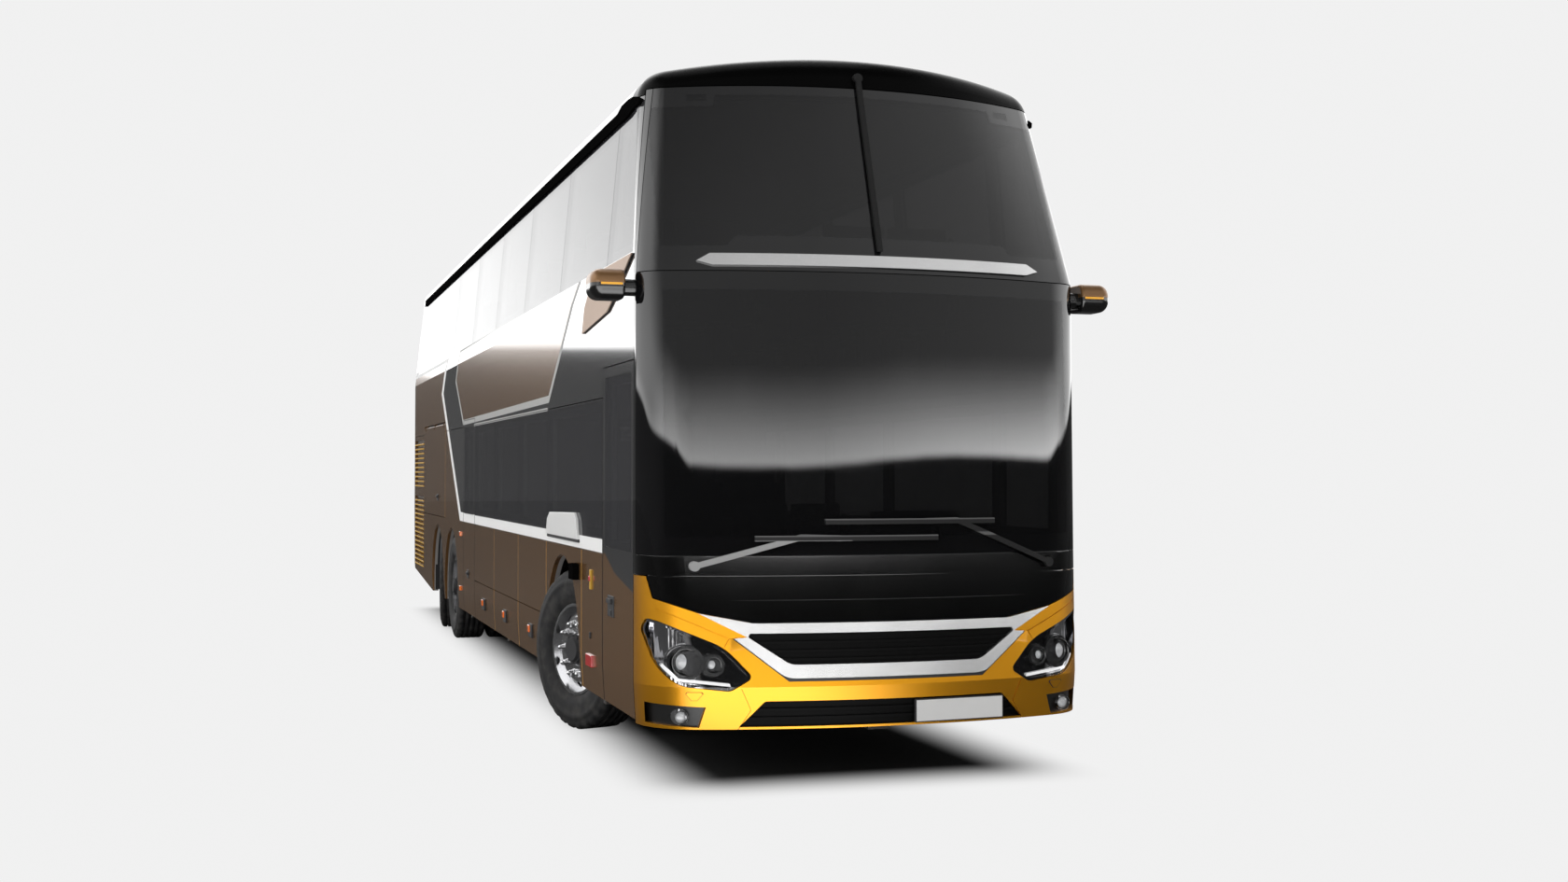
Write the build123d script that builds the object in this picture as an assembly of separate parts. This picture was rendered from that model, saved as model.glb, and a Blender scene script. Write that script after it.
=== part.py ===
from build123d import *
import math
import os

os.makedirs("parts", exist_ok=True)

# Overall sizes, mm. Front faces -Y, the door side is -X, the ground is Z = 0.
HEIGHT = 4000
SKIRT_Z = 355
WALL = 60
GLASS = 14
FIT = 0.3
RUN = 0.05
SEAM = 6
FAR = 1500

# Body shape: plan outlines stacked in Z, all made of lines and arcs.
BODY_SECTIONS = [
    # z, half width, front y, y where the flat side begins, front arc radius, rear y
    (340, 1262, -6985, -6495, 3500, 6880),
    (560, 1275, -7000, -6495, 3500, 6950),
    (1240, 1275, -6945, -6495, 3500, 7000),
    (2750, 1275, -6860, -6495, 3500, 6960),
    (4100, 1148, -6465, -5980, 2000, 6760),
]
REAR_RADIUS = 9000
REAR_CORNER = 260
CROWN_RADIUS = 7700
ROOF_EDGE = 165

# Levels and lines that several panels share.
COWL_Z = 1135
SCREEN_BASE_Z = 1240
DECK_SPLIT_Z = 2115
SCREEN_SPLIT_Z = 2750
GUTTER_Z = 3778
HEADER_Z = 3810
PILLAR_Y = -6484
SCREEN_EDGE_Y = -6532
PILLAR_LEAN = 0.2736
CAP_REAR_Y = -5950
REAR_SPLIT_Y = 6653
DEPARTURE_Y = 4470
DEPARTURE_Z = 505

# Wheels and axles.
FRONT_Y = -4200
DRIVE_Y = 2500
TAG_Y = 3850
TYRE_R = 522
HUB_Z = 522
KINGPIN_X = 1010
WHEEL_OFFSET = 77
TWIN_OUTER_X = 1105
TWIN_INNER_X = 775
SPINDLE_R = 45
KINGPIN_R = 40
DRIVE_SPINDLE_R = 60
FRONT_STEER = 20
TAG_STEER = -8
ARCHES = [
    # axle y, arch radius, arch centre z
    (FRONT_Y, 660, 480),
    (DRIVE_Y, 620, 500),
    (TAG_Y, 620, 500),
]

# Side openings on the right (-X) side.
DOORS = [
    # name, front y, rear y, top z, glass bottom z, glass top z
    ("front_door", -6487, -5613, 2290, 1250, 2225),
    ("rear_door", 546, 1435, 2180, 1290, 2110),
]
SKIRT_FLAPS = [
    # front y, rear y
    (-3540, -2215),
    (-2215, -814),
    (-814, 540),
]
SKIRT_FLAP_TOP = 693
LUGGAGE_FLAP = (3106, 5394, 1206, 2184)
LUGGAGE_HOOKS = (3300, 4250, 5200)
FLAP_TUBE_R = 9
FLAP_TUBE_X = 1260
FLAP_AXIS = 4
FLAP_GAP = 30
HOOK = 20
NOTCH_R = 36
UPPER_PANES = [-6440, -5670, -4030, -2400, -770, 860, 2490, 4120, 5750, 6560]
UPPER_PANE_Z = (2880, 3738)
LOWER_PANES = [-5600, -3590, -2210, -812, 540]
LOWER_PANES_LEFT = [-6420, -5600, -3590, -2210, -812, 540, 1600]
LOWER_PANE_Z = (1290, 2106)
PANE_FRAME = 62

# Air louvers behind the luggage flaps, grooves between wall panels, and the raised fin
# panel behind each mirror.
LOUVERS = [
    # front y, rear y, lowest slot z, slots
    (5470, 6600, 585, 15),
    (5470, 6600, 1530, 10),
]
PANEL_SEAMS = [-4930, -3560]
BELT_SEAM_Z = 1206
LOUVER_PITCH = 55
LOUVER_SLOT = 32
LOUVER_DEPTH = 36
FIN = [
    # y, z
    (-6430, 2868),
    (-6210, 2763),
    (-5957, 2658),
    (-5787, 2603),
    (-4990, 2535),
    (-5080, 2690),
    (-5390, 2868),
]
PROUD = 14

# Inside.
FLOOR_Z = 420
UPPER_FLOOR_Z = 2250
FLOOR_T = 60
HOUSING_X = 540
BULKHEAD_Y = 1600
LUGGAGE_Z = 1230
ENGINE_WALL_Y = 5420
STAIR = (-1900, 0, 640, 1180)


def block(x, y, z):
    """Box given by its x, y and z limits."""
    size = Box(x[1] - x[0], y[1] - y[0], z[1] - z[0])
    return Pos((x[0] + x[1]) / 2, (y[0] + y[1]) / 2, (z[0] + z[1]) / 2) * size


def front_face(points, y0):
    """Front-view outline from rows of x, z and, where the corner is round, its radius."""
    face = make_face(Polyline(*[(row[0], y0, row[1]) for row in points], close=True))
    for row in points:
        if len(row) == 3:
            corner = face.vertices().sort_by_distance((row[0], y0, row[1]))[0]
            face = fillet(corner, row[2])
    return face


def front_prism(points, y0=-7700, y1=PILLAR_Y - SEAM):
    """Front-view outline drawn out along Y."""
    return extrude(front_face(points, y0), y1 - y0, dir=(0, 1, 0))


def side_prism(points, x0, x1):
    """Side-view polygon (y, z) drawn out along X."""
    wire = Polyline(*[(x0, y, z) for y, z in points], close=True)
    return extrude(make_face(wire), x1 - x0, dir=(1, 0, 0))


def both_halves(points):
    """Closed front-view outline from the points of its +X half."""
    return points + [(-row[0], *row[1:]) for row in reversed(points)]


def both_sides(shape):
    """The shape and its mirror image in the middle plane."""
    return [shape, mirror(shape, about=Plane.YZ)]


def rod(start, end, radius):
    """Round bar between two points."""
    start, end = Vector(start), Vector(end)
    plane = Plane(origin=start, z_dir=end - start)
    return extrude(plane * Circle(radius), (end - start).length)


def solids(*groups):
    """Compound of every solid in the given shapes."""
    found = []
    for group in groups:
        found += list(group.solids())
    return Compound(children=found)


def outline(z, half_width, front_y, side_y, front_r, rear_y, inset):
    """Plan outline at one height: bowed ends, round corners, straight sides."""
    reach = side_y - front_y
    corner_r = (front_r**2 - (front_r - reach) ** 2 - half_width**2) / (2 * (front_r - half_width))
    rear_reach = math.sqrt((REAR_RADIUS - REAR_CORNER) ** 2 - (half_width - REAR_CORNER) ** 2)
    rear_side_y = rear_y - REAR_RADIUS + rear_reach
    ends = []
    for end_y, big_r, small_r, centre_y, corner_y in (
        (front_y, front_r, corner_r, front_y + front_r, side_y),
        (rear_y, REAR_RADIUS, REAR_CORNER, rear_y - REAR_RADIUS, rear_side_y),
    ):
        cx = half_width - small_r
        start = math.atan2(corner_y - centre_y, cx)
        tip = (big_r - inset) * math.cos(start), centre_y + (big_r - inset) * math.sin(start)
        mid_r = small_r - inset
        mid = cx + mid_r * math.cos(start / 2), corner_y + mid_r * math.sin(start / 2)
        nose = end_y + inset if end_y < 0 else end_y - inset
        ends.append((tip, mid, corner_y, nose))
    (ft, fm, fy, fn), (rt, rm, ry, rn) = ends
    w = half_width - inset
    return make_face(
        [
            ThreePointArc((-ft[0], ft[1], z), (0, fn, z), (ft[0], ft[1], z)),
            ThreePointArc((ft[0], ft[1], z), (fm[0], fm[1], z), (w, fy, z)),
            Line((w, fy, z), (w, ry, z)),
            ThreePointArc((w, ry, z), (rm[0], rm[1], z), (rt[0], rt[1], z)),
            ThreePointArc((rt[0], rt[1], z), (0, rn, z), (-rt[0], rt[1], z)),
            ThreePointArc((-rt[0], rt[1], z), (-rm[0], rm[1], z), (-w, ry, z)),
            Line((-w, ry, z), (-w, fy, z)),
            ThreePointArc((-w, fy, z), (-fm[0], fm[1], z), (-ft[0], ft[1], z)),
        ]
    )


def body(inset):
    """The whole coach body as one solid, drawn in (or out) by the inset."""
    hull = loft([outline(*row, inset) for row in BODY_SECTIONS], ruled=True)
    crown = Pos(0, 0, HEIGHT - inset - CROWN_RADIUS) * Rot(90, 0, 0) * Cylinder(CROWN_RADIUS, 16000)
    hull = hull & crown
    return fillet(hull.faces().sort_by(Axis.Z)[-1].edges(), ROOF_EDGE - inset)


OUTER = body(0)
INNER = body(WALL)
LINER = body(WALL + FIT)
SHELL = OUTER - INNER
SKIN = OUTER - body(GLASS)
RECESS = OUTER - body(GLASS + FIT)
RAIL = 100
RAIL_CORE = body(RAIL)
JOINED_RAIL = INNER - RAIL_CORE
LOOSE_RAIL = LINER - RAIL_CORE
FRONT = block((-FAR, FAR), (-7600, -5600), (0, 4500))
FRONT_SHELL = SHELL & FRONT
FRONT_SKIN = SKIN & FRONT
FRONT_RECESS = RECESS & FRONT
RAISED = body(-PROUD) - OUTER


def pillar_y(z, edge_y):
    """Front pillar line: upright below the screen split, leaning back above it."""
    return edge_y + max(0, z - SCREEN_SPLIT_Z) * PILLAR_LEAN


def side_range(side):
    """X limits of a cutter for one side of the body, side -1 is the door side."""
    return (-FAR, -700) if side < 0 else (700, FAR)


def panes(edges, z_limits, side):
    """Cutters for a row of panes and for the openings behind them."""
    x0, x1 = side_range(side)
    band = block((x0, x1), (edges[0], edges[-1]), z_limits)
    lights = []
    holes = []
    for y0, y1 in zip(edges, edges[1:]):
        lights.append(block((x0, x1), (y0 + SEAM / 2, y1 - SEAM / 2), z_limits))
        hole_z = (z_limits[0] + PANE_FRAME, z_limits[1] - PANE_FRAME)
        holes.append(block((x0, x1), (y0 + PANE_FRAME, y1 - PANE_FRAME), hole_z))
    return band, lights, holes


def louver_slots(side):
    """Slots that slope up into the wall, one prism for each gap between two slats."""
    face_x = side * 1300
    back_x = side * (1275 - LOUVER_DEPTH)
    slots = []
    for y0, y1, low_z, count in LOUVERS:
        for i in range(count):
            z = low_z + i * LOUVER_PITCH
            face = [(face_x, z), (face_x, z + LOUVER_SLOT)]
            back = [(back_x, z + LOUVER_PITCH), (back_x, z + LOUVER_PITCH - LOUVER_SLOT)]
            slots.append(front_prism(face + back, y0, y1))
    return slots


def upper_wall(side):
    """Upper side wall with its glass band and window openings, and the panes."""
    x0, x1 = side_range(side)
    top_y = pillar_y(GUTTER_Z, PILLAR_Y)
    low = DECK_SPLIT_Z + SEAM / 2
    zone = [
        (PILLAR_Y, low),
        (REAR_SPLIT_Y - SEAM / 2, low),
        (REAR_SPLIT_Y - SEAM / 2, GUTTER_Z - SEAM / 2),
        (top_y, GUTTER_Z - SEAM / 2),
        (PILLAR_Y, SCREEN_SPLIT_Z),
    ]
    wall = SHELL & side_prism(zone, x0, x1)
    band, lights, holes = panes(UPPER_PANES, UPPER_PANE_Z, side)
    lean = side_prism(
        [
            (pillar_y(UPPER_PANE_Z[0], PILLAR_Y) + 45, UPPER_PANE_Z[0]),
            (7000, UPPER_PANE_Z[0]),
            (7000, UPPER_PANE_Z[1]),
            (pillar_y(UPPER_PANE_Z[1], PILLAR_Y) + 45, UPPER_PANE_Z[1]),
        ],
        x0,
        x1,
    )
    hole_lean = Pos(0, PANE_FRAME, 0) * lean
    wall = wall - (RECESS & band & lean)
    glass = [SKIN & light & lean for light in lights]
    for hole in holes:
        wall = wall - (hole & hole_lean)
    if side < 0:
        for name, y0, y1, top, g0, g1 in DOORS:
            wall = wall - block((x0, x1), (y0, y1), (0, top))
    wall = wall + (RAISED & side_prism(FIN, x0, x1))
    flap_y0, flap_y1, flap_z0, flap_z1 = LUGGAGE_FLAP
    wall = wall - block((x0, x1), (flap_y0, flap_y1), (0, flap_z1 + FLAP_GAP))
    tube_x = side * FLAP_TUBE_X
    axis_z = flap_z1 + FLAP_AXIS
    for hook_y in LUGGAGE_HOOKS:
        hook_x = (tube_x - 12, tube_x + 12)
        wall = wall + block(hook_x, (hook_y - HOOK, hook_y + HOOK), (axis_z, flap_z1 + FLAP_GAP + 5))
    wall = wall - rod((tube_x, flap_y0, axis_z), (tube_x, flap_y1, axis_z), FLAP_TUBE_R + RUN)
    return wall, glass


def lower_wall(side):
    """Lower side wall with arches, door and flap openings, windows, and the panes."""
    x0, x1 = side_range(side)
    zone = [
        (PILLAR_Y, SKIRT_Z),
        (DEPARTURE_Y, SKIRT_Z),
        (REAR_SPLIT_Y - SEAM / 2, DEPARTURE_Z),
        (REAR_SPLIT_Y - SEAM / 2, DECK_SPLIT_Z - SEAM / 2),
        (PILLAR_Y, DECK_SPLIT_Z - SEAM / 2),
    ]
    wall = SHELL & side_prism(zone, x0, x1)
    for axle_y, radius, centre_z in ARCHES:
        arch = Pos((x0 + x1) / 2, axle_y, centre_z) * Rot(0, 90, 0) * Cylinder(radius, x1 - x0)
        wall = wall - arch
        wall = wall - block((x0, x1), (axle_y - radius, axle_y + radius), (0, centre_z))
    for y0, y1 in SKIRT_FLAPS:
        wall = wall - block((x0, x1), (y0, y1), (0, SKIRT_FLAP_TOP + SEAM))
    flap_y0, flap_y1, flap_z0, flap_z1 = LUGGAGE_FLAP
    wall = wall - block((x0, x1), (flap_y0, flap_y1), (flap_z0, 3000))
    wall = wall - louver_slots(side)
    for seam_y in PANEL_SEAMS:
        wall = wall - (SKIN & block((x0, x1), (seam_y - SEAM / 2, seam_y + SEAM / 2), (0, BELT_SEAM_Z)))
    belt_y = (DOORS[0][2], DOORS[1][1])
    wall = wall - (SKIN & block((x0, x1), belt_y, (BELT_SEAM_Z - SEAM / 2, BELT_SEAM_Z + SEAM / 2)))
    edges = LOWER_PANES if side < 0 else LOWER_PANES_LEFT
    if side < 0:
        for name, y0, y1, top, g0, g1 in DOORS:
            wall = wall - block((x0, x1), (y0, y1), (0, top))
    band, lights, holes = panes(edges, LOWER_PANE_Z, side)
    wall = wall - (RECESS & band)
    for hole in holes:
        wall = wall - hole
    glass = [SKIN & light for light in lights]
    return wall, glass


SIDES = [("right", -1), ("left", 1)]
for name, side in SIDES:
    upper, upper_glass = upper_wall(side)
    lower, lower_glass = lower_wall(side)
    export_step(solids(upper), f"parts/side_wall_upper_{name}.step")
    export_step(solids(lower), f"parts/side_wall_lower_{name}.step")
    export_step(solids(*upper_glass, *lower_glass), f"parts/side_glass_{name}.step")

# Skirt panels under the windows, three a side.
skirt = []
for name, side in SIDES:
    for y0, y1 in SKIRT_FLAPS:
        panel = block(side_range(side), (y0 + SEAM / 2, y1 - SEAM / 2), (SKIRT_Z, SKIRT_FLAP_TOP))
        skirt.append(SHELL & panel)
export_step(solids(*skirt), "parts/skirt_panels.step")

# Luggage flaps: wall-thick lids hung on a tube along their top edge.
flap_y0, flap_y1, flap_z0, flap_z1 = LUGGAGE_FLAP
for name, side in SIDES:
    lid_y = (flap_y0 + SEAM, flap_y1 - SEAM)
    lid = SHELL & block(side_range(side), lid_y, (flap_z0 + SEAM, flap_z1))
    tube_x = side * FLAP_TUBE_X
    axis_z = flap_z1 + FLAP_AXIS
    for hook_y in LUGGAGE_HOOKS:
        lid = lid - rod((tube_x, hook_y - HOOK - 8, axis_z), (tube_x, hook_y + HOOK + 8, axis_z), NOTCH_R)
    tube = rod((tube_x, lid_y[0], axis_z), (tube_x, lid_y[1], axis_z), FLAP_TUBE_R)
    export_step(solids(lid + tube), f"parts/luggage_flap_{name}.step")

# Roof: front dome and the long shell, with a rain gutter along each side.
dome_edge = pillar_y(HEADER_Z, PILLAR_Y)
cap_zone = [
    (-7200, HEADER_Z + SEAM / 2),
    (dome_edge, HEADER_Z + SEAM / 2),
    (dome_edge, GUTTER_Z + SEAM / 2),
    (CAP_REAR_Y - SEAM / 2, GUTTER_Z + SEAM / 2),
    (CAP_REAR_Y - SEAM / 2, 4300),
    (-7200, 4300),
]
export_step(solids(FRONT_SHELL & side_prism(cap_zone, -FAR, FAR)), "parts/roof_front_cap.step")
roof = SHELL & block((-FAR, FAR), (CAP_REAR_Y + SEAM / 2, 7200), (GUTTER_Z + SEAM / 2, 4300))
gutter_y = (CAP_REAR_Y + SEAM / 2, 6200)
gutter_band = RAISED & block((-FAR, FAR), gutter_y, (GUTTER_Z + 3, GUTTER_Z + 31))
rail_y = (CAP_REAR_Y + SEAM / 2, 6600)
roof = roof + (JOINED_RAIL & block((-FAR, FAR), rail_y, (GUTTER_Z + SEAM / 2, GUTTER_Z + 50)))
roof = roof + (LOOSE_RAIL & block((-FAR, FAR), rail_y, (GUTTER_Z - 35, GUTTER_Z + SEAM / 2)))
export_step(solids(roof + gutter_band), "parts/roof_shell.step")

# Rear: wall with window and lamp openings, hinged engine flap, bumper, lamps.
ENGINE_FLAP = (-900, 900, 720, 1790)
ENGINE_HINGE_Y = 6968
ENGINE_HOOKS = (-250, 0, 250)
ENGINE_SLOTS = 7
REAR_GLASS = (-1010, 1010, 2900, 3660)
REAR_LAMPS = (965, 1185, 760, 1520)
BUMPER_TOP = 692
REAR_ZONE = block((-FAR, FAR), (REAR_SPLIT_Y + SEAM / 2, 7300), (0, GUTTER_Z - SEAM / 2))
REAR_SHELL = SHELL & REAR_ZONE
REAR_SKIN = SKIN & REAR_ZONE
REAR_RECESS = RECESS & REAR_ZONE
rear_wall = REAR_SHELL & block((-FAR, FAR), (6000, 7300), (BUMPER_TOP + SEAM, 4000))
x0, x1, z0, z1 = ENGINE_FLAP
rear_wall = rear_wall - block((x0, x1), (6000, 7300), (z0, z1 + FLAP_GAP))
lid = REAR_SHELL & block((x0 + SEAM, x1 - SEAM), (6000, 7300), (z0 + SEAM, z1))
axis_z = z1 + FLAP_AXIS
for hook_x in ENGINE_HOOKS:
    notch_x = (hook_x - HOOK - 8, hook_x + HOOK + 8)
    lid = lid - rod((notch_x[0], ENGINE_HINGE_Y, axis_z), (notch_x[1], ENGINE_HINGE_Y, axis_z), NOTCH_R)
    hook_y = (ENGINE_HINGE_Y - 12, ENGINE_HINGE_Y + 12)
    rear_wall = rear_wall + block((hook_x - HOOK, hook_x + HOOK), hook_y, (axis_z, z1 + FLAP_GAP + 5))
tube = rod((-330, ENGINE_HINGE_Y, axis_z), (330, ENGINE_HINGE_Y, axis_z), FLAP_TUBE_R)
for i in range(ENGINE_SLOTS):
    slot_z = z0 + 90 + i * LOUVER_PITCH
    slot = block((-620, 620), (6000, 7300), (slot_z, slot_z + LOUVER_SLOT))
    lid = lid - (slot - Pos(0, -LOUVER_DEPTH, 0) * OUTER)
export_step(solids(lid + tube), "parts/engine_flap.step")
rear_wall = rear_wall - rod((x0, ENGINE_HINGE_Y, axis_z), (x1, ENGINE_HINGE_Y, axis_z), FLAP_TUBE_R + RUN)
rear_zone = (REAR_SPLIT_Y + SEAM / 2, 7300)
rear_wall = rear_wall + (JOINED_RAIL & block((-1150, 1150), rear_zone, (BUMPER_TOP + SEAM, z0 - 4)))
rear_wall = rear_wall + (LOOSE_RAIL & block((-1150, 1150), rear_zone, (BUMPER_TOP - 80, BUMPER_TOP + SEAM)))
x0, x1, z0, z1 = REAR_GLASS
rear_pane = block((x0, x1), (6000, 7300), (z0, z1))
rear_wall = rear_wall - (REAR_RECESS & rear_pane)
rear_wall = rear_wall - block((x0 + 70, x1 - 70), (6000, 7300), (z0 + 70, z1 - 70))
rear_window = REAR_SKIN & block((x0 + 3, x1 - 3), (6000, 7300), (z0 + 3, z1 - 3))
export_step(solids(rear_window), "parts/rear_window.step")
x0, x1, z0, z1 = REAR_LAMPS
lamps = []
for cut, lens in zip(
    both_sides(block((x0, x1), (6000, 7300), (z0, z1))),
    both_sides(block((x0 + 3, x1 - 3), (6000, 7300), (z0 + 3, z1 - 3))),
):
    rear_wall = rear_wall - (REAR_RECESS & cut)
    lamps.append(REAR_SKIN & lens)
export_step(solids(*lamps), "parts/rear_lamps.step")
export_step(solids(rear_wall), "parts/rear_wall.step")
rear_bumper = REAR_SHELL & block((-FAR, FAR), (6000, 7300), (DEPARTURE_Z, BUMPER_TOP))
export_step(solids(rear_bumper), "parts/rear_bumper.step")

# Windscreens: two bowed panes that wrap round to the door pillar.
upper_edge = pillar_y(HEADER_Z, SCREEN_EDGE_Y)
lower_zone = [
    (-7300, SCREEN_BASE_Z + 3),
    (SCREEN_EDGE_Y, SCREEN_BASE_Z + 3),
    (SCREEN_EDGE_Y, SCREEN_SPLIT_Z - 3),
    (-7300, SCREEN_SPLIT_Z - 3),
]
upper_zone = [
    (-7300, SCREEN_SPLIT_Z + 3),
    (SCREEN_EDGE_Y, SCREEN_SPLIT_Z + 3),
    (upper_edge, HEADER_Z - 3),
    (-7300, HEADER_Z - 3),
]
screen_zone = [
    (-7300, SCREEN_BASE_Z),
    (SCREEN_EDGE_Y + 5, SCREEN_BASE_Z),
    (SCREEN_EDGE_Y + 5, SCREEN_SPLIT_Z),
    (upper_edge + 5, HEADER_Z),
    (-7300, HEADER_Z),
]
export_step(solids(FRONT_SKIN & side_prism(lower_zone, -FAR, FAR)), "parts/windscreen_lower.step")
export_step(solids(FRONT_SKIN & side_prism(upper_zone, -FAR, FAR)), "parts/windscreen_upper.step")

# Front frame: door pillars and the beams that carry the two windscreens.
FRAME_LIGHTS = [
    # half width below, half width above, bottom z, top z
    (1165, 1165, 1330, 2680),
    (1150, 1062, 2830, 3735),
]
frame_zone = [
    (-7300, COWL_Z + 3),
    (PILLAR_Y - SEAM, COWL_Z + 3),
    (PILLAR_Y - SEAM, SCREEN_SPLIT_Z),
    (pillar_y(HEADER_Z - 3, PILLAR_Y) - SEAM, HEADER_Z - 3),
    (-7300, HEADER_Z - 3),
]
frame = FRONT_SHELL & side_prism(frame_zone, -FAR, FAR)
frame = frame - (FRONT_RECESS & side_prism(screen_zone, -FAR, FAR))
for low_x, high_x, z0, z1 in FRAME_LIGHTS:
    frame = frame - front_prism(both_halves([(low_x, z0), (high_x, z1)]), -7700, -5600)
frame = frame + (JOINED_RAIL & block((-FAR, FAR), (-7700, -6260), (HEADER_Z - 60, HEADER_Z - 3)))
frame = frame + (LOOSE_RAIL & block((-FAR, FAR), (-7700, -6260), (HEADER_Z - 3, HEADER_Z + 40)))
lip_y = (-7700, PILLAR_Y - 60)
frame = frame + (JOINED_RAIL & block((-FAR, FAR), lip_y, (COWL_Z + 3, COWL_Z + 60)))
frame = frame + (LOOSE_RAIL & block((-FAR, FAR), lip_y, (COWL_Z - 120, COWL_Z + 3)))

# Front mask, bumper, trim, grille and lamps: front-view outlines, +X half.
MASK_EDGE = [(1238, COWL_Z - 3), (1212, 1022), (1000, 948), (725, 896)]
COWL_STRIP = [(1240, COWL_Z + 3), (1240, SCREEN_BASE_Z - 3)]
SURROUND = [(725, 890, 120), (1000, 942), (755, 818), (823, 812), (580, 622, 130), (535, 604, 130)]
GRILLE_IN = [(742, 838), (752, 818), (535, 674, 110)]
INTAKE = [(668, 486, 30), (800, 352)]
HEADLAMP = [
    # x, z, corner radius
    (1243, 914, 18),
    (1262, 855, 90),
    (1212, 669, 250),
    (1112, 565, 180),
    (845, 537, 60),
    (725, 609, 28),
    (872, 766, 300),
    (1190, 899, 250),
]
FOG_RECESS = [(968, 456), (1246, 470), (1240, 362), (1000, 350)]
FOG_LAMP = (1090, 402, 42)
BUMPER_CUT = [(1241, COWL_Z + 50), (1241, COWL_Z - 3), (1216, 1017), (1000, 943), (725, 890), (725, 889)]
BUMPER_SEAMS = [
    [(788, 552), (793, 552), (743, 440), (813, 330), (808, 330), (738, 440)],
    [(1200, 968), (850, 815), (760, 822), (760, 817), (850, 810), (1200, 963)],
    [(848, 812), (853, 812), (876, 768), (871, 768)],
]
SEAM_DEPTH = 8
GRILLE_BARS = [700, 744, 788]
INTAKE_BARS = [395, 440]
BAR_H = 14
COVER = 8
BOWL_DEPTH = 44
LAMP_LEAN = 0.6
PROJECTORS = [
    # x, z, radius, setback of the barrel, setback of the lens
    (1062, 686, 90, 16, 28),
    (925, 672, 58, 20, 30),
]
LIGHT_GUIDE = [(838, 560), (1105, 588), (1180, 664), (1168, 676), (1098, 603), (842, 576)]

mask = FRONT_SHELL & front_prism(both_halves(MASK_EDGE), -7700, PILLAR_Y - SEAM)
strip_zone = front_prism(both_halves(COWL_STRIP), -7700, SCREEN_EDGE_Y)
frame = frame - (FRONT_RECESS & strip_zone)
strip = FRONT_SKIN & strip_zone
export_step(solids(mask, strip), "parts/front_mask.step")
export_step(solids(frame), "parts/front_frame.step")

surround_plan = both_halves(SURROUND)
grille_plan = both_halves(GRILLE_IN)
bumper = FRONT_SHELL & block((-FAR, FAR), (-7700, PILLAR_Y - SEAM), (0, COWL_Z - 3))
bumper = bumper - front_prism(both_halves(BUMPER_CUT))
bumper = bumper - front_prism(surround_plan)
bumper = bumper - front_prism(both_halves(INTAKE))


def nose_layer(zone, near, far, lean=0):
    """Part of a zone between two setbacks behind the nose, along Y and inwards by the lean."""
    layer = zone & (Pos(-lean * near, near, 0) * OUTER)
    return layer - Pos(-lean * far, far, 0) * OUTER


for seam_plan in BUMPER_SEAMS:
    groove = front_prism(seam_plan, -7700, -6600) - Pos(0, SEAM_DEPTH, 0) * OUTER
    bumper = bumper - both_sides(groove)
lamp_list = []
cover_list = []
lamp_depth = 7700 + PILLAR_Y - SEAM
lamp_face = front_face(HEADLAMP, -7700)
lamp_plans = {}
for plan, grow in (("hole", 0), ("core", -SEAM / 2), ("flange", 12), ("bowl", -16)):
    plan_face = offset(lamp_face, grow, kind=Kind.INTERSECTION) if grow else lamp_face
    lamp_plans[plan] = extrude(plan_face, lamp_depth, dir=(0, 1, 0))
bowl_cut = lamp_plans["bowl"] - Pos(-LAMP_LEAN * BOWL_DEPTH, BOWL_DEPTH, 0) * OUTER
front_cut = lamp_plans["flange"] - Pos(-LAMP_LEAN * (COVER + FIT), COVER + FIT, 0) * OUTER
lamp = (FRONT_SHELL & lamp_plans["core"]) + (JOINED_RAIL & lamp_plans["core"])
lamp = lamp + (LOOSE_RAIL & lamp_plans["flange"])
cover = nose_layer(lamp_plans["core"], 0, COVER, LAMP_LEAN)
lamp = lamp - front_cut - bowl_cut
for x, z, r, barrel, lens in PROJECTORS:
    barrel_rod = rod((x, -7500, z), (x, -5800, z), r)
    lens_rod = rod((x, -7500, z), (x, -5800, z), r - 14)
    lens_cut = lens_rod - Pos(-LAMP_LEAN * lens, lens, 0) * OUTER
    lamp = lamp + (nose_layer(barrel_rod, barrel, BOWL_DEPTH + 2, LAMP_LEAN) - lens_cut)
lamp = lamp + nose_layer(front_prism(LIGHT_GUIDE), 24, BOWL_DEPTH + 2, LAMP_LEAN)
lamp_list += both_sides(lamp)
cover_list += both_sides(cover)
for hole in both_sides(lamp_plans["hole"]):
    bumper = bumper - hole
fog_layer = body(18) - body(WALL)
for hole, sign in zip(both_sides(front_prism(FOG_RECESS)), (1, -1)):
    pocket = hole & (OUTER - body(28))
    bumper = bumper - pocket
    x, z, r = FOG_LAMP
    bumper = bumper - rod((sign * x, -7500, z), (sign * x, -5800, z), r + FIT)
    lamp_list.append(fog_layer & rod((sign * x, -7500, z), (sign * x, -5800, z), r))
export_step(solids(*lamp_list), "parts/front_lamps.step")
export_step(solids(*cover_list), "parts/headlamp_covers.step")
export_step(solids(bumper), "parts/front_bumper.step")

trim_layer = body(-3) - body(40)
surround = (trim_layer & front_prism(surround_plan)) - front_prism(grille_plan)
BAR = [(905, 2782), (985, 2806), (915, 2846)]
bar = RAISED & front_prism(both_halves(BAR))
export_step(solids(surround, bar), "parts/front_trim.step")
insert_layer = body(22) - body(WALL)
inserts = []
for plan, bars in ((GRILLE_IN, GRILLE_BARS), (INTAKE, INTAKE_BARS)):
    window = front_prism(both_halves([(row[0] - 1, *row[1:]) for row in plan]))
    insert = insert_layer & window
    for z in bars:
        bar_block = block((-900, 900), (-7700, -6000), (z - BAR_H / 2, z + BAR_H / 2))
        insert = insert + nose_layer(window & bar_block, 8, 40)
    inserts.append(insert)
export_step(solids(*inserts), "parts/front_grille.step")

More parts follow.
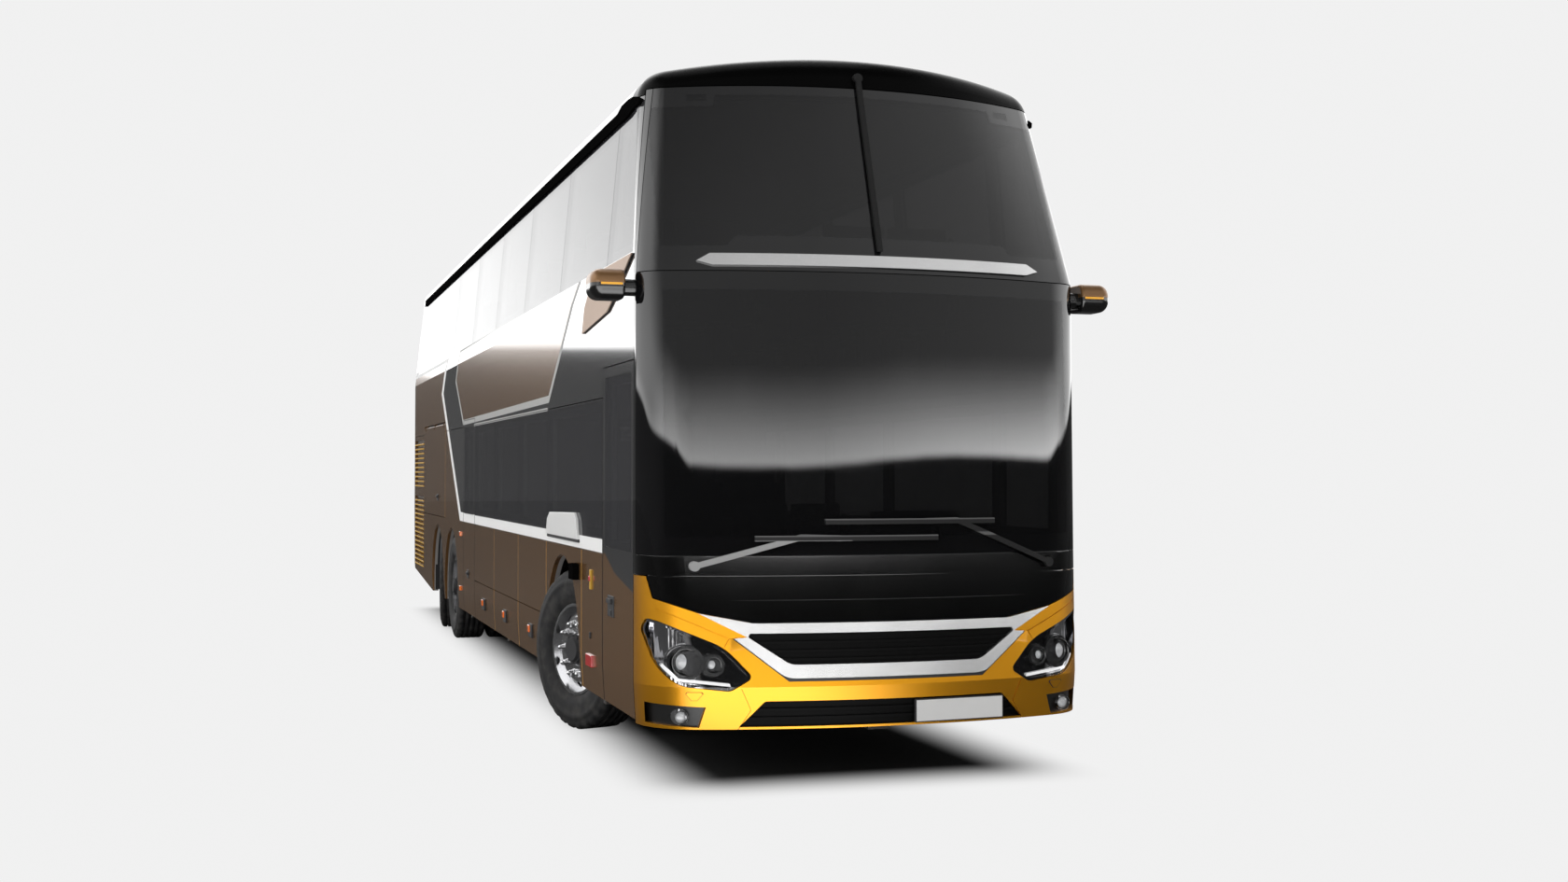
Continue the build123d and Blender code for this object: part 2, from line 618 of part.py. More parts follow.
# Wipers lie on the screens: two sweeping the lower one, one hanging on the upper one.
WIPERS = [
    # pivot x, pivot z, elbow x, elbow z, blade start x, blade end x, blade z
    (-1020, 1189, -470, 1339, -710, 290, 1333),
    (1000, 1186, 410, 1423, -340, 640, 1420),
]
ARM_H = 15
wiper_layer = body(-30) - body(-9)
foot_layer = body(-30) - OUTER
wipers = []
for px, pz, ex, ez, b0, b1, bz in WIPERS:
    arm = front_prism([(px, pz - ARM_H), (px, pz + ARM_H), (ex, ez + ARM_H), (ex, ez - ARM_H)])
    blade = front_prism([(b0, bz - 14), (b0, bz + 14), (b1, bz + 14), (b1, bz - 14)])
    link = front_prism([(ex, ez - ARM_H), (ex, ez + ARM_H), (ex * 0.55, bz + ARM_H), (ex * 0.55, bz - ARM_H)])
    foot = foot_layer & rod((px, -7600, pz), (px, -5900, pz), 26)
    wipers.append((wiper_layer & (arm + blade + link)) + foot)
arm = front_prism([(-40, 3870), (-10, 3870), (15, 2870), (-15, 2870)], -7700, -6000)
foot = foot_layer & rod((-25, -7600, 3870), (-25, -6100, 3870), 26)
wipers.append((wiper_layer & arm) + foot)
export_step(solids(*wipers), "parts/wipers.step")

# Mirrors: a wing on a short arm at each front corner, at the height of the screen split.
MIRROR_Z = (2605, 2768)
MIRROR_X = (1335, 1520)
MIRROR_Y = (-6570, -6340)
wing = block(MIRROR_X, MIRROR_Y, MIRROR_Z)
wing = fillet(wing.edges().filter_by(Axis.X), 68)
wing = fillet(wing.faces().sort_by(Axis.X)[-1].edges(), 58)
wing = fillet(wing.faces().sort_by(Axis.X)[0].edges(), 18)
arm = block((1150, 1345), (-6520, -6400), (2632, 2718))
arm = fillet(arm.edges().filter_by(Axis.X), 36)
mirror_shape = (wing + arm) - OUTER
export_step(solids(*both_sides(mirror_shape)), "parts/mirrors.step")

# Doors: wall-thick leaf, flush pane, and a post with two arms that swing the leaf out.
ARM_LENGTH = 420
ARM_ANGLE = 95
POST_X = -1148
POST_R = 25
PIN_R = 15
POST_BACK = 222
ARM_LEVELS = [700, 1900]
for name, y0, y1, top, g0, g1 in DOORS:
    leaf = SHELL & block((-FAR, -700), (y0 + SEAM, y1 - SEAM), (SKIRT_Z + 2, top - SEAM))
    pane_y = (y0 + 70, y1 - 70)
    leaf = leaf - (RECESS & block((-FAR, -700), pane_y, (g0, g1)))
    leaf = leaf - block((-FAR, -700), (pane_y[0] + 45, pane_y[1] - 45), (g0 + 45, g1 - 45))
    pane = SKIN & block((-FAR, -700), (pane_y[0] + 3, pane_y[1] - 3), (g0 + 3, g1 - 3))
    post_y = y0 + POST_BACK
    pin_x = POST_X + ARM_LENGTH * math.cos(math.radians(ARM_ANGLE))
    pin_y = post_y + ARM_LENGTH * math.sin(math.radians(ARM_ANGLE))
    swing = rod((POST_X, post_y, FLOOR_Z + FIT), (POST_X, post_y, 2120), POST_R)
    for z in ARM_LEVELS:
        swing = swing + rod((POST_X, post_y, z), (pin_x, pin_y, z), 16)
        eye = rod((pin_x, pin_y, z - 18), (pin_x, pin_y, z + 18), 28)
        swing = swing + eye
    for z in ARM_LEVELS:
        swing = swing - rod((pin_x, pin_y, z - 40), (pin_x, pin_y, z + 40), PIN_R + RUN)
        pin = rod((pin_x, pin_y, z - 30), (pin_x, pin_y, z + 30), PIN_R)
        for lug_z in (z - 42, z + 24):
            lug = block((-1216, pin_x + 18), (pin_y - 20, pin_y + 20), (lug_z, lug_z + 18))
            leaf = leaf + lug
        leaf = leaf + pin
    export_step(solids(leaf), f"parts/{name}.step")
    export_step(solids(pane), f"parts/{name}_glass.step")
    export_step(solids(swing), f"parts/{name}_arm.step")

# Lower floor with front wheel housings, bulkhead, luggage floor, engine wall and stairs.
floor = block((-1300, 1300), (-6900, BULKHEAD_Y + 40), (FLOOR_Z - FLOOR_T, FLOOR_Z))
housing_y = (FRONT_Y - 670, FRONT_Y + 670)
HOUSING_TOP = 1190
for sign in (-1, 1):
    xs = sorted((sign * HOUSING_X, sign * 1300))
    inner = sorted((sign * (HOUSING_X + 12), sign * 1300))
    outer_y = (housing_y[0] - 12, housing_y[1] + 12)
    floor = floor + block(xs, outer_y, (FLOOR_Z - FLOOR_T, HOUSING_TOP + 12))
    floor = floor - block(inner, housing_y, (0, HOUSING_TOP))
bulkhead_z = (FLOOR_Z - FLOOR_T, UPPER_FLOOR_Z - FLOOR_T - FIT)
bulkhead = block((-1300, 1300), (BULKHEAD_Y, BULKHEAD_Y + 40), bulkhead_z)
deck = block((-1300, 1300), (BULKHEAD_Y, ENGINE_WALL_Y + 40), (LUGGAGE_Z - 40, LUGGAGE_Z))
wall_z = (LUGGAGE_Z - 40, UPPER_FLOOR_Z - FLOOR_T - FIT)
engine_wall = block((-1300, 1300), (ENGINE_WALL_Y, ENGINE_WALL_Y + 40), wall_z)
floor = floor + bulkhead + deck + engine_wall
RISE = 295
GOING = 270
stairs = []
for step in range(6):
    y0 = STAIR[0] + step * GOING
    tread_z = (FLOOR_Z - 5, FLOOR_Z + (step + 1) * RISE - 5)
    stairs.append(block((STAIR[2], STAIR[3]), (y0, STAIR[1]), tread_z))
for tread in stairs:
    floor = floor + tread
floor = floor & LINER
CLEAR_X = 1205
for name, y0, y1, top, g0, g1 in DOORS:
    floor = floor - block((-FAR, -CLEAR_X), (y0 - 10, y1 + 10), (0, 2600))
for name, side in SIDES:
    trim_x = sorted((side * CLEAR_X, side * FAR))
    floor = floor - block(trim_x, (flap_y0 - 10, flap_y1 + 10), (0, 2600))
export_step(solids(floor), "parts/lower_floor.step")

# Upper floor with the stairwell.
upper_floor = LINER & block((-1300, 1300), (-6800, 6850), (UPPER_FLOOR_Z - FLOOR_T, UPPER_FLOOR_Z))
upper_floor = upper_floor - block((STAIR[2] - 40, STAIR[3] - 20), (STAIR[0], STAIR[1]), (2000, 2400))
for name, y0, y1, top, g0, g1 in DOORS:
    upper_floor = upper_floor - block((-FAR, -CLEAR_X), (y0 - 10, y1 + 10), (0, 2600))
export_step(solids(upper_floor), "parts/upper_floor.step")

# Seats: pairs facing forward; the profile has pedestal, cushion and back in one.
SEAT = [
    (-60, 0),
    (-60, 340),
    (-240, 360),
    (-240, 460),
    (140, 440),
    (205, 1100),
    (280, 1100),
    (250, 340),
    (120, 340),
    (120, 0),
]
SEAT_ROWS = [
    # deck z, first y, pitch, rows on the right, x from, x to
    (UPPER_FLOOR_Z, -5300, 810, range(0, 14), -1130, -270),
    (UPPER_FLOOR_Z, -5300, 810, [0, 1, 2, 3, 7, 8, 9, 10, 11, 12, 13], 270, 1130),
    (FLOOR_Z, -3000, 800, range(0, 4), -1170, -310),
    (FLOOR_Z, -3000, 800, range(0, 1), 310, 1170),
    (FLOOR_Z, -5650, 800, range(0, 1), 420, 920),
]
seats = []
for deck_z, first_y, pitch, rows, xa, xb in SEAT_ROWS:
    for row in rows:
        profile = [(first_y + row * pitch + y, deck_z + z) for y, z in SEAT]
        seats.append(side_prism(profile, xa, xb))
export_step(solids(*seats), "parts/seats.step")

# Dashboard with the steering wheel on its column.
dash = side_prism([(-6900, FLOOR_Z), (-6480, FLOOR_Z), (-6420, 1080), (-6900, 1180)], -260, 1300)
dash = dash & body(RAIL + FIT)
wheel_at = Plane(origin=(670, -6250, 1130), z_dir=(0, 0.5, 1))
column = rod((670, -6520, 620), (670, -6250, 1130), 35)
steering = Torus(215, 16)
spokes = Box(430, 30, 14) + Cylinder(50, 30)
dash = dash + column + wheel_at.location * (steering + spokes)
export_step(solids(dash), "parts/dashboard.step")

# Engine as one plain block, hung under the cross members at the tail.
ENGINE = ((-420, 420), (4650, 6450), (420, 1070 - FIT))
export_step(solids(block(*ENGINE)), "parts/engine_block.step")

# Underframe: low beams under the floor, kick-up, high beams at the tail, air springs,
# tow lug at the nose and jacking pads.
BEAM_X = (480, 560)
frame_parts = []
for sign in (-1, 1):
    xs = sorted((sign * BEAM_X[0], sign * BEAM_X[1]))
    frame_parts.append(block(xs, (-6400, 1725), (280, 360 - FIT)))
    frame_parts.append(block(xs, (1645, 1725), (280, 1180)))
    frame_parts.append(block(xs, (1645, 6560), (1070, 1190 - FIT)))
CROSS = [
    # y, z from, z to, half length
    (-6300, 280, 359.7, 560),
    (-5200, 280, 359.7, 1180),
    (-3000, 280, 359.7, 1180),
    (-1000, 280, 359.7, 1180),
    (1520, 280, 359.7, 1180),
    (3175, 1070, 1189.7, 1180),
    (4900, 1070, 1189.7, 560),
    (6200, 1070, 1189.7, 1180),
]
for y, z0, z1, half in CROSS:
    frame_parts.append(block((-half, half), (y - 40, y + 40), (z0, z1)))
SPRINGS = [
    # y, x, bottom z, top z, radius
    (FRONT_Y, 670, 605 + FIT, HOUSING_TOP - FIT, 100),
    (DRIVE_Y, 520, 610 + FIT, 1075, 90),
    (TAG_Y, 520, 605 + FIT, 1075, 90),
]
for y, x, z0, z1, r in SPRINGS[1:]:
    for sign in (-1, 1):
        frame_parts.append(rod((sign * x, y, z0), (sign * x, y, z1), r))
PAD_SIZE = 130
PAD_Z = 262
JACK_PADS = [(-520, -5200), (520, -5200), (-520, 1200), (520, 1200)]
for x, y in JACK_PADS:
    half = PAD_SIZE / 2
    frame_parts.append(block((x - half, x + half), (y - half, y + half), (PAD_Z, 290)))
TOW = (0, -6760, 22.5)
frame_parts.append(block((-60, 60), (TOW[1] - 60, -6250), (300, 340)))
underframe = frame_parts[0]
for piece in frame_parts[1:]:
    underframe = underframe + piece
underframe = underframe - rod((TOW[0], TOW[1], 200), (TOW[0], TOW[1], 400), TOW[2])
front_springs = []
y, x, z0, z1, r = SPRINGS[0]
for sign in (-1, 1):
    front_springs.append(rod((sign * x, y, z0), (sign * x, y, z1), r))
export_step(solids(underframe, *front_springs), "parts/underframe.step")

# Axles: dropped front beam, straight tag beam, both with kingpin eyes; drive axle with its casing.
EYES = [(395, 455), (590, 650)]


def steer_axle(y, beam):
    """Beam with a pair of kingpin eyes at each end."""
    for sign in (-1, 1):
        arm_x = sorted((sign * 690, sign * (KINGPIN_X - 66)))
        end = block(arm_x, (y - 45, y + 45), (440, 605))
        cheek_x = sorted((sign * (KINGPIN_X - 110), sign * (KINGPIN_X - 66)))
        end = end + block(cheek_x, (y - 45, y + 45), (EYES[0][0], EYES[1][1]))
        for z0, z1 in EYES:
            lug_x = sorted((sign * (KINGPIN_X - 110), sign * KINGPIN_X))
            end = end + block(lug_x, (y - 45, y + 45), (z0, z1))
            end = end + rod((sign * KINGPIN_X, y, z0), (sign * KINGPIN_X, y, z1), 65)
        end = end - rod((sign * KINGPIN_X, y, 300), (sign * KINGPIN_X, y, 800), KINGPIN_R + RUN)
        beam = beam + end
    return beam


drop = block((-720, 720), (FRONT_Y - 50, FRONT_Y + 50), (165, 265))
for sign in (-1, 1):
    xs = sorted((sign * 620, sign * 720))
    drop = drop + block(xs, (FRONT_Y - 50, FRONT_Y + 50), (165, 605))
export_step(solids(steer_axle(FRONT_Y, drop)), "parts/front_axle.step")
straight = block((-720, 720), (TAG_Y - 60, TAG_Y + 60), (440, 605))
export_step(solids(steer_axle(TAG_Y, straight)), "parts/tag_axle.step")
casing = rod((-600, DRIVE_Y, HUB_Z), (600, DRIVE_Y, HUB_Z), 88)
casing = casing + rod((-160, DRIVE_Y, HUB_Z), (160, DRIVE_Y, HUB_Z), 210)
casing = casing + rod((-1195, DRIVE_Y, HUB_Z), (1195, DRIVE_Y, HUB_Z), DRIVE_SPINDLE_R)
export_step(solids(casing), "parts/drive_axle.step")


def revolved(points, arcs):
    """Ring turned about the X axis from an (x, r) outline; arcs maps a point index to a mid point."""
    edges = []
    for i, (x, r) in enumerate(points):
        nx, nr = points[(i + 1) % len(points)]
        if i in arcs:
            edges.append(ThreePointArc((x, 0, r), (arcs[i][0], 0, arcs[i][1]), (nx, 0, nr)))
        else:
            edges.append(Line((x, 0, r), (nx, 0, nr)))
    return revolve(make_face(edges), Axis.X)


# Tyre ring and disc wheel, outboard side towards +X.
TYRE = [
    (-113.5, 286.3),
    (113.5, 286.3),
    (113.5, 301),
    (124, 304),
    (134, 498),
    (110, TYRE_R),
    (-110, TYRE_R),
    (-134, 498),
    (-124, 304),
    (-113.5, 301),
]
tyre = revolved(TYRE, {3: (147.5, 400), 4: (126, 515), 6: (-126, 515), 7: (-147.5, 400)})
RIM = [
    (-122, 298),
    (-122, 272),
    (34, 268),
    (88, 205),
    (92, 112),
    (5, 106),
    (5, SPINDLE_R + RUN),
    (120, SPINDLE_R + RUN),
    (120, 100),
    (106, 112),
    (102, 210),
    (60, 276),
    (122, 280),
    (122, 298),
    (114, 298),
    (114, 286),
    (-114, 286),
    (-114, 298),
]
rim = revolved(RIM, {})
HAND_HOLES = 10
for i in range(HAND_HOLES):
    hole = Rot(i * 360 / HAND_HOLES, 0, 0) * rod((0, 0, 232), (200, 0, 232), 20)
    rim = rim - hole
spindle = rod((-20, 0, 0), (112, 0, 0), SPINDLE_R)
pin_z = (EYES[0][0] - HUB_Z - 6, EYES[1][1] - HUB_Z + 6)
kingpin = rod((-WHEEL_OFFSET, 0, pin_z[0]), (-WHEEL_OFFSET, 0, pin_z[1]), KINGPIN_R)
yoke = rod((-WHEEL_OFFSET, 0, -61), (-WHEEL_OFFSET, 0, 62), 62)
carrier = rod((-WHEEL_OFFSET, 0, 0), (-1, 0, 0), 55)
lever = block((-WHEEL_OFFSET - 12, -WHEEL_OFFSET + 12), (0, 210), (-55, -20))
knuckle = spindle + kingpin + yoke + carrier + lever


def place_steered(shape, side, axle_y, steer):
    """Stand a wheel-frame shape on its kingpin at one side, turned by the steer angle."""
    if side < 0:
        shape = mirror(shape, about=Plane.YZ)
    shape = Pos(side * WHEEL_OFFSET, 0, 0) * shape
    return Pos(side * KINGPIN_X, axle_y, HUB_Z) * Rot(0, 0, steer) * shape


STEERED = [
    # axle, y, rest angle
    ("front", FRONT_Y, FRONT_STEER),
    ("tag", TAG_Y, TAG_STEER),
]
for axle, y, angle in STEERED:
    for name, side in SIDES:
        export_step(solids(place_steered(tyre, side, y, angle)), f"parts/{axle}_tyre_{name}.step")
        export_step(solids(place_steered(rim, side, y, angle)), f"parts/{axle}_rim_{name}.step")
        export_step(solids(place_steered(knuckle, side, y, angle)), f"parts/{axle}_knuckle_{name}.step")

# Twin drive wheels: dished disc wheels back to back on one hub drum.
TWIN = [
    (-122, 298),
    (-122, 280),
    (-60, 276),
    (-102, 210),
    (-106, 152),
    (-94, 152),
    (-90, 205),
    (-36, 268),
    (122, 272),
    (122, 298),
    (114, 298),
    (114, 286),
    (-114, 286),
    (-114, 298),
]
inner_disc = revolved(TWIN, {})
twin = inner_disc
for i in range(HAND_HOLES):
    twin = twin - Rot(i * 360 / HAND_HOLES, 0, 0) * rod((-200, 0, 232), (0, 0, 232), 20)
TWIN_GAP = TWIN_OUTER_X - TWIN_INNER_X
drum = rod((-300, 0, 0), (80, 0, 0), 152.5) - rod((-400, 0, 0), (200, 0, 0), DRIVE_SPINDLE_R + RUN)
drum = drum + (rod((80, 0, 0), (115, 0, 0), 90) - rod((0, 0, 0), (200, 0, 0), DRIVE_SPINDLE_R + RUN))
drive_wheel = twin + drum + (Pos(-TWIN_GAP, 0, 0) * mirror(inner_disc, about=Plane.YZ))
for name, side in SIDES:
    wheel_shape = drive_wheel if side > 0 else mirror(drive_wheel, about=Plane.YZ)
    at = Pos(side * TWIN_OUTER_X, DRIVE_Y, HUB_Z)
    pair = [at * tyre, Pos(side * TWIN_INNER_X, DRIVE_Y, HUB_Z) * tyre]
    export_step(solids(*pair), f"parts/drive_tyres_{name}.step")
    export_step(solids(at * wheel_shape), f"parts/drive_rims_{name}.step")
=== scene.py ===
import bpy
import bmesh
import math
from mathutils import Matrix, Vector
from mathutils.kdtree import KDTree


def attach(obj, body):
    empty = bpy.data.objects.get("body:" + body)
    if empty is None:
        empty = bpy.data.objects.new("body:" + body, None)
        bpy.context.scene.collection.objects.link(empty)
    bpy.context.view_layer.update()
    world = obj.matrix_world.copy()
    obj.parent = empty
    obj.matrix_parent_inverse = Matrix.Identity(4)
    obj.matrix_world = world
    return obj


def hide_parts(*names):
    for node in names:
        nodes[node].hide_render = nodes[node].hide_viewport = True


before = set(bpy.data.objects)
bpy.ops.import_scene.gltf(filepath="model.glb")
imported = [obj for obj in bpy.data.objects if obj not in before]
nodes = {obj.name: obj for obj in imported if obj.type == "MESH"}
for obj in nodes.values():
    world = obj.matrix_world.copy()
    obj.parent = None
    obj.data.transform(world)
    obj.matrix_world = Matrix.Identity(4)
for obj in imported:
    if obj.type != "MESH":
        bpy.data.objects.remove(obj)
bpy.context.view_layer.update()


# Underframe, axles, knuckles and door posts: welded box beams and forgings in
# black chassis paint, with a dry film of road dust on what lies low.
class Wire:
    """A shader output: Python arithmetic on it adds Math nodes, node() adds any other node."""

    def __init__(self, tree, socket):
        self.tree = tree
        self.socket = socket

    def node(self, kind, settings, sockets, output=0):
        made = self.tree.nodes.new("ShaderNode" + kind)
        for key, value in settings.items():
            setattr(made, key, value)
        for key, value in sockets.items():
            if isinstance(value, Wire):
                self.tree.links.new(value.socket, made.inputs[key])
            else:
                made.inputs[key].default_value = value
        return Wire(self.tree, made.outputs[output])

    def math(self, operation, *values):
        return self.node("Math", {"operation": operation}, dict(enumerate(values)))

    def apply(self, operation, *others):
        """A Math node with this value as its first input."""
        return self.math(operation, self, *others)

    def __add__(self, other):
        return self.math("ADD", self, other)

    def __radd__(self, other):
        return self.math("ADD", other, self)

    def __sub__(self, other):
        return self.math("SUBTRACT", self, other)

    def __rsub__(self, other):
        return self.math("SUBTRACT", other, self)

    def __mul__(self, other):
        return self.math("MULTIPLY", self, other)

    def __rmul__(self, other):
        return self.math("MULTIPLY", other, self)

    def __truediv__(self, other):
        return self.math("DIVIDE", self, other)

    def __abs__(self):
        return self.math("ABSOLUTE", self)

    def __and__(self, other):
        return self.math("MINIMUM", self, other)

    def __or__(self, other):
        return self.math("MAXIMUM", self, other)

    def over(self, level, width):
        """0 below the level, 1 above it, with a soft edge of that width."""
        ramp = {1: level - width / 2, 2: level + width / 2}
        return self.node("MapRange", {"interpolation_type": "SMOOTHSTEP"}, {0: self, **ramp})

    def under(self, level, width):
        """1 below the level, 0 above it."""
        return 1 - self.over(level, width)

    def between(self, low, high, width):
        """1 from the low level to the high one, 0 outside."""
        return self.over(low, width) * self.under(high, width)

    def tint(self, low, high):
        """Colour between two colours, with this value as the factor."""
        return self.node("Mix", {"data_type": "RGBA"}, {0: self, 6: low, 7: high}, 2)

    def noise(self, scale, detail=2.0):
        return self.node("TexNoise", {}, {"Vector": self, "Scale": scale, "Detail": detail})

    def bump(self, strength, distance):
        """A normal that this value raises."""
        return self.node("Bump", {}, {"Strength": strength, "Distance": distance, "Height": self})

    def parts(self):
        split = self.node("SeparateXYZ", {}, {0: self}).socket.node
        return [Wire(self.tree, socket) for socket in split.outputs]


def rgb(r, g, b):
    return (r, g, b, 1.0)


def grey(level):
    return rgb(level, level, level)


def finish(name, **constants):
    """New material with its constant sockets set, its shader's inputs and its object coordinates."""
    material = bpy.data.materials.new(name)
    material.use_nodes = True
    tree = material.node_tree
    shader = tree.nodes["Principled BSDF"]
    for key, value in constants.items():
        shader.inputs[key.replace("_", " ")].default_value = value
    place = Wire(tree, tree.nodes.new("ShaderNodeTexCoord").outputs["Object"])
    return material, shader, place


def feed(shader, **wires):
    """Links what varies over the surface to the shader."""
    for key, wire in wires.items():
        wire.tree.links.new(wire.socket, shader.inputs[key.replace("_", " ")])


def dress(material, *names):
    """Gives CAD nodes their finish."""
    for name in names:
        slots = nodes[name].material_slots
        if not slots:
            nodes[name].data.materials.append(material)
        for spot in slots:
            spot.material = material


chassis_black, shader, place = finish("chassis_black", Specular_IOR_Level=0.35)
x, y, z = place.parts()
dust = z.under(0.45, 0.7) * place.noise(3.0, 5.0)
feed(shader, Base_Color=dust.tint(rgb(0.018, 0.018, 0.019), rgb(0.10, 0.09, 0.078)))
feed(shader, Roughness=0.5 + 0.35 * dust)
feed(shader, Normal=place.noise(60.0, 4.0).bump(0.25, 0.002))
dress(chassis_black, "underframe", "front_axle", "drive_axle", "tag_axle", "engine_block")
dress(chassis_black, "front_door_arm", "rear_door_arm")
for axle in ("front", "tag"):
    for hand in ("right", "left"):
        dress(chassis_black, f"{axle}_knuckle_{hand}")

# Floors of both decks: plywood under a speckled non-slip sheet, with the wheel
# housings, stairs and bulkheads that grow out of the lower one.
floor_cover, shader, place = finish("floor_cover", Specular_IOR_Level=0.4)
specks = place.noise(420.0, 1.0).over(0.62, 0.06)
feed(shader, Base_Color=specks.tint(rgb(0.055, 0.052, 0.05), rgb(0.2, 0.19, 0.18)))
feed(shader, Roughness=0.55 + 0.2 * place.noise(9.0))
dress(floor_cover, "lower_floor", "upper_floor")

# Passenger seats: foam cushions and backs in woven cloth over a moulded shell,
# in pairs on a floor pedestal, and one seat for the driver.
SEAT_ROWS = [
    # deck z, first y, pitch, rows, x of the seats
    (2.25, -5.3, 0.81, range(14), (-0.915, -0.485)),
    (2.25, -5.3, 0.81, [0, 1, 2, 3, 7, 8, 9, 10, 11, 12, 13], (0.485, 0.915)),
    (0.42, -3.0, 0.8, range(4), (-0.955, -0.525)),
    (0.42, -3.0, 0.8, range(1), (0.525, 0.955)),
    (0.42, -5.65, 0.8, range(1), (0.67,)),
]
seat_places = [
    (x, first + row * pitch, deck)
    for deck, first, pitch, rows, columns in SEAT_ROWS
    for row in rows
    for x in columns
]


def pillow(mesh, centre, size, lean, power):
    """Adds a crowned pad: a divided box drawn towards a rounded form, leaned back about X."""
    known = set(mesh.verts)
    made = bmesh.ops.create_cube(mesh, size=2.0)
    edges = list({edge for vert in made["verts"] for edge in vert.link_edges})
    bmesh.ops.subdivide_edges(mesh, edges=edges, cuts=6, use_grid_fill=True)
    verts = [vert for vert in mesh.verts if vert not in known]
    turn = Matrix.Rotation(lean, 3, "X")
    for vert in verts:
        grid = vert.co.copy()
        length = sum(abs(c) ** power for c in grid) ** (1.0 / power)
        form = grid / length
        form = Vector((form.x * size[0], form.y * size[1], form.z * size[2])) / 2
        vert.co = turn @ form + Vector(centre)


def keep_mesh(name, mesh, material, smooth=True):
    """Turns a bmesh into an object at the origin with one finish."""
    bmesh.ops.recalc_face_normals(mesh, faces=mesh.faces)
    data = bpy.data.meshes.new(name)
    mesh.to_mesh(data)
    mesh.free()
    data.materials.append(material)
    data.shade_smooth() if smooth else data.shade_flat()
    made = bpy.data.objects.new(name, data)
    bpy.context.collection.objects.link(made)
    return made


def repeat(name, piece, points, material, turn=None):
    """Geometry Nodes: one copy of the piece on each point, realized and made a plain mesh."""
    cloud = bpy.data.meshes.new(name)
    cloud.from_pydata(points, [], [])
    made = bpy.data.objects.new(name, cloud)
    bpy.context.collection.objects.link(made)
    tree = bpy.data.node_groups.new(name + "_rows", "GeometryNodeTree")
    tree.interface.new_socket("Geometry", in_out="INPUT", socket_type="NodeSocketGeometry")
    size = tree.interface.new_socket("Size", in_out="INPUT", socket_type="NodeSocketFloat")
    size.default_value = 1.0
    tree.interface.new_socket("Geometry", in_out="OUTPUT", socket_type="NodeSocketGeometry")
    start = tree.nodes.new("NodeGroupInput")
    source = tree.nodes.new("GeometryNodeObjectInfo")
    source.inputs["Object"].default_value = piece
    place_on = tree.nodes.new("GeometryNodeInstanceOnPoints")
    real = tree.nodes.new("GeometryNodeRealizeInstances")
    paint = tree.nodes.new("GeometryNodeSetMaterial")
    paint.inputs["Material"].default_value = material
    end = tree.nodes.new("NodeGroupOutput")
    tree.links.new(start.outputs["Geometry"], place_on.inputs["Points"])
    tree.links.new(source.outputs["Geometry"], place_on.inputs["Instance"])
    tree.links.new(start.outputs["Size"], place_on.inputs["Scale"])
    tree.links.new(place_on.outputs["Instances"], real.inputs["Geometry"])
    tree.links.new(real.outputs["Geometry"], paint.inputs["Geometry"])
    tree.links.new(paint.outputs["Geometry"], end.inputs[0])
    rows = made.modifiers.new("rows", "NODES")
    rows.node_group = tree
    rows[size.identifier] = 1.0
    graph = bpy.context.evaluated_depsgraph_get()
    data = bpy.data.meshes.new_from_object(made.evaluated_get(graph))
    made.modifiers.remove(rows)
    made.data = data
    bpy.data.meshes.remove(cloud)
    bpy.data.node_groups.remove(tree)
    bpy.data.objects.remove(piece)
    if turn is not None:
        data.transform(turn)
    return made


seat_cloth, shader, place = finish("seat_cloth", Sheen_Weight=0.35, Sheen_Roughness=0.5)
x, y, z = place.parts()
THREADS = 900
weave = (x * THREADS).apply("SINE") * (z * THREADS).apply("SINE")
stripe = place.noise(22.0, 3.0).over(0.55, 0.1)
feed(shader, Base_Color=stripe.tint(rgb(0.055, 0.057, 0.065), rgb(0.17, 0.165, 0.16)))
feed(shader, Roughness=0.8 + 0.1 * weave)
feed(shader, Normal=weave.bump(0.4, 0.001))
SEAT_PADS = [
    # centre, size, lean and power of the cushion, back, head rest and two side rolls
    ((0, -0.045, 0.41), (0.42, 0.4, 0.13), 0.05, 5.0),
    ((0, 0.205, 0.74), (0.42, 0.11, 0.64), -0.1, 5.0),
    ((0, 0.235, 1.0), (0.27, 0.09, 0.18), -0.1, 4.0),
    ((-0.19, 0.15, 0.7), (0.055, 0.1, 0.5), -0.1, 3.0),
    ((0.19, 0.15, 0.7), (0.055, 0.1, 0.5), -0.1, 3.0),
]
pads = bmesh.new()
for centre, size, lean, power in SEAT_PADS:
    pillow(pads, centre, size, lean, power)
pad = keep_mesh("seat_pad", pads, seat_cloth)
seat_pads = repeat("seat_pads", pad, seat_places, seat_cloth)
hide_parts("seats")
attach(seat_pads, "coach_body")

moulding, shader, place = finish("grained_moulding", Specular_IOR_Level=0.4)
grain = place.noise(700.0, 2.0)
feed(shader, Base_Color=place.noise(6.0).tint(rgb(0.022, 0.022, 0.024), rgb(0.034, 0.033, 0.034)))
feed(shader, Roughness=0.5 + 0.2 * grain)
feed(shader, Normal=grain.bump(0.2, 0.0008))


def slab(mesh, low, high):
    """Adds a box between two corners."""
    made = bmesh.ops.create_cube(mesh, size=1.0)
    middle = (Vector(low) + Vector(high)) / 2
    size = Vector(high) - Vector(low)
    for vert in made["verts"]:
        vert.co = Vector((vert.co.x * size.x, vert.co.y * size.y, vert.co.z * size.z)) + middle
    return made["verts"]


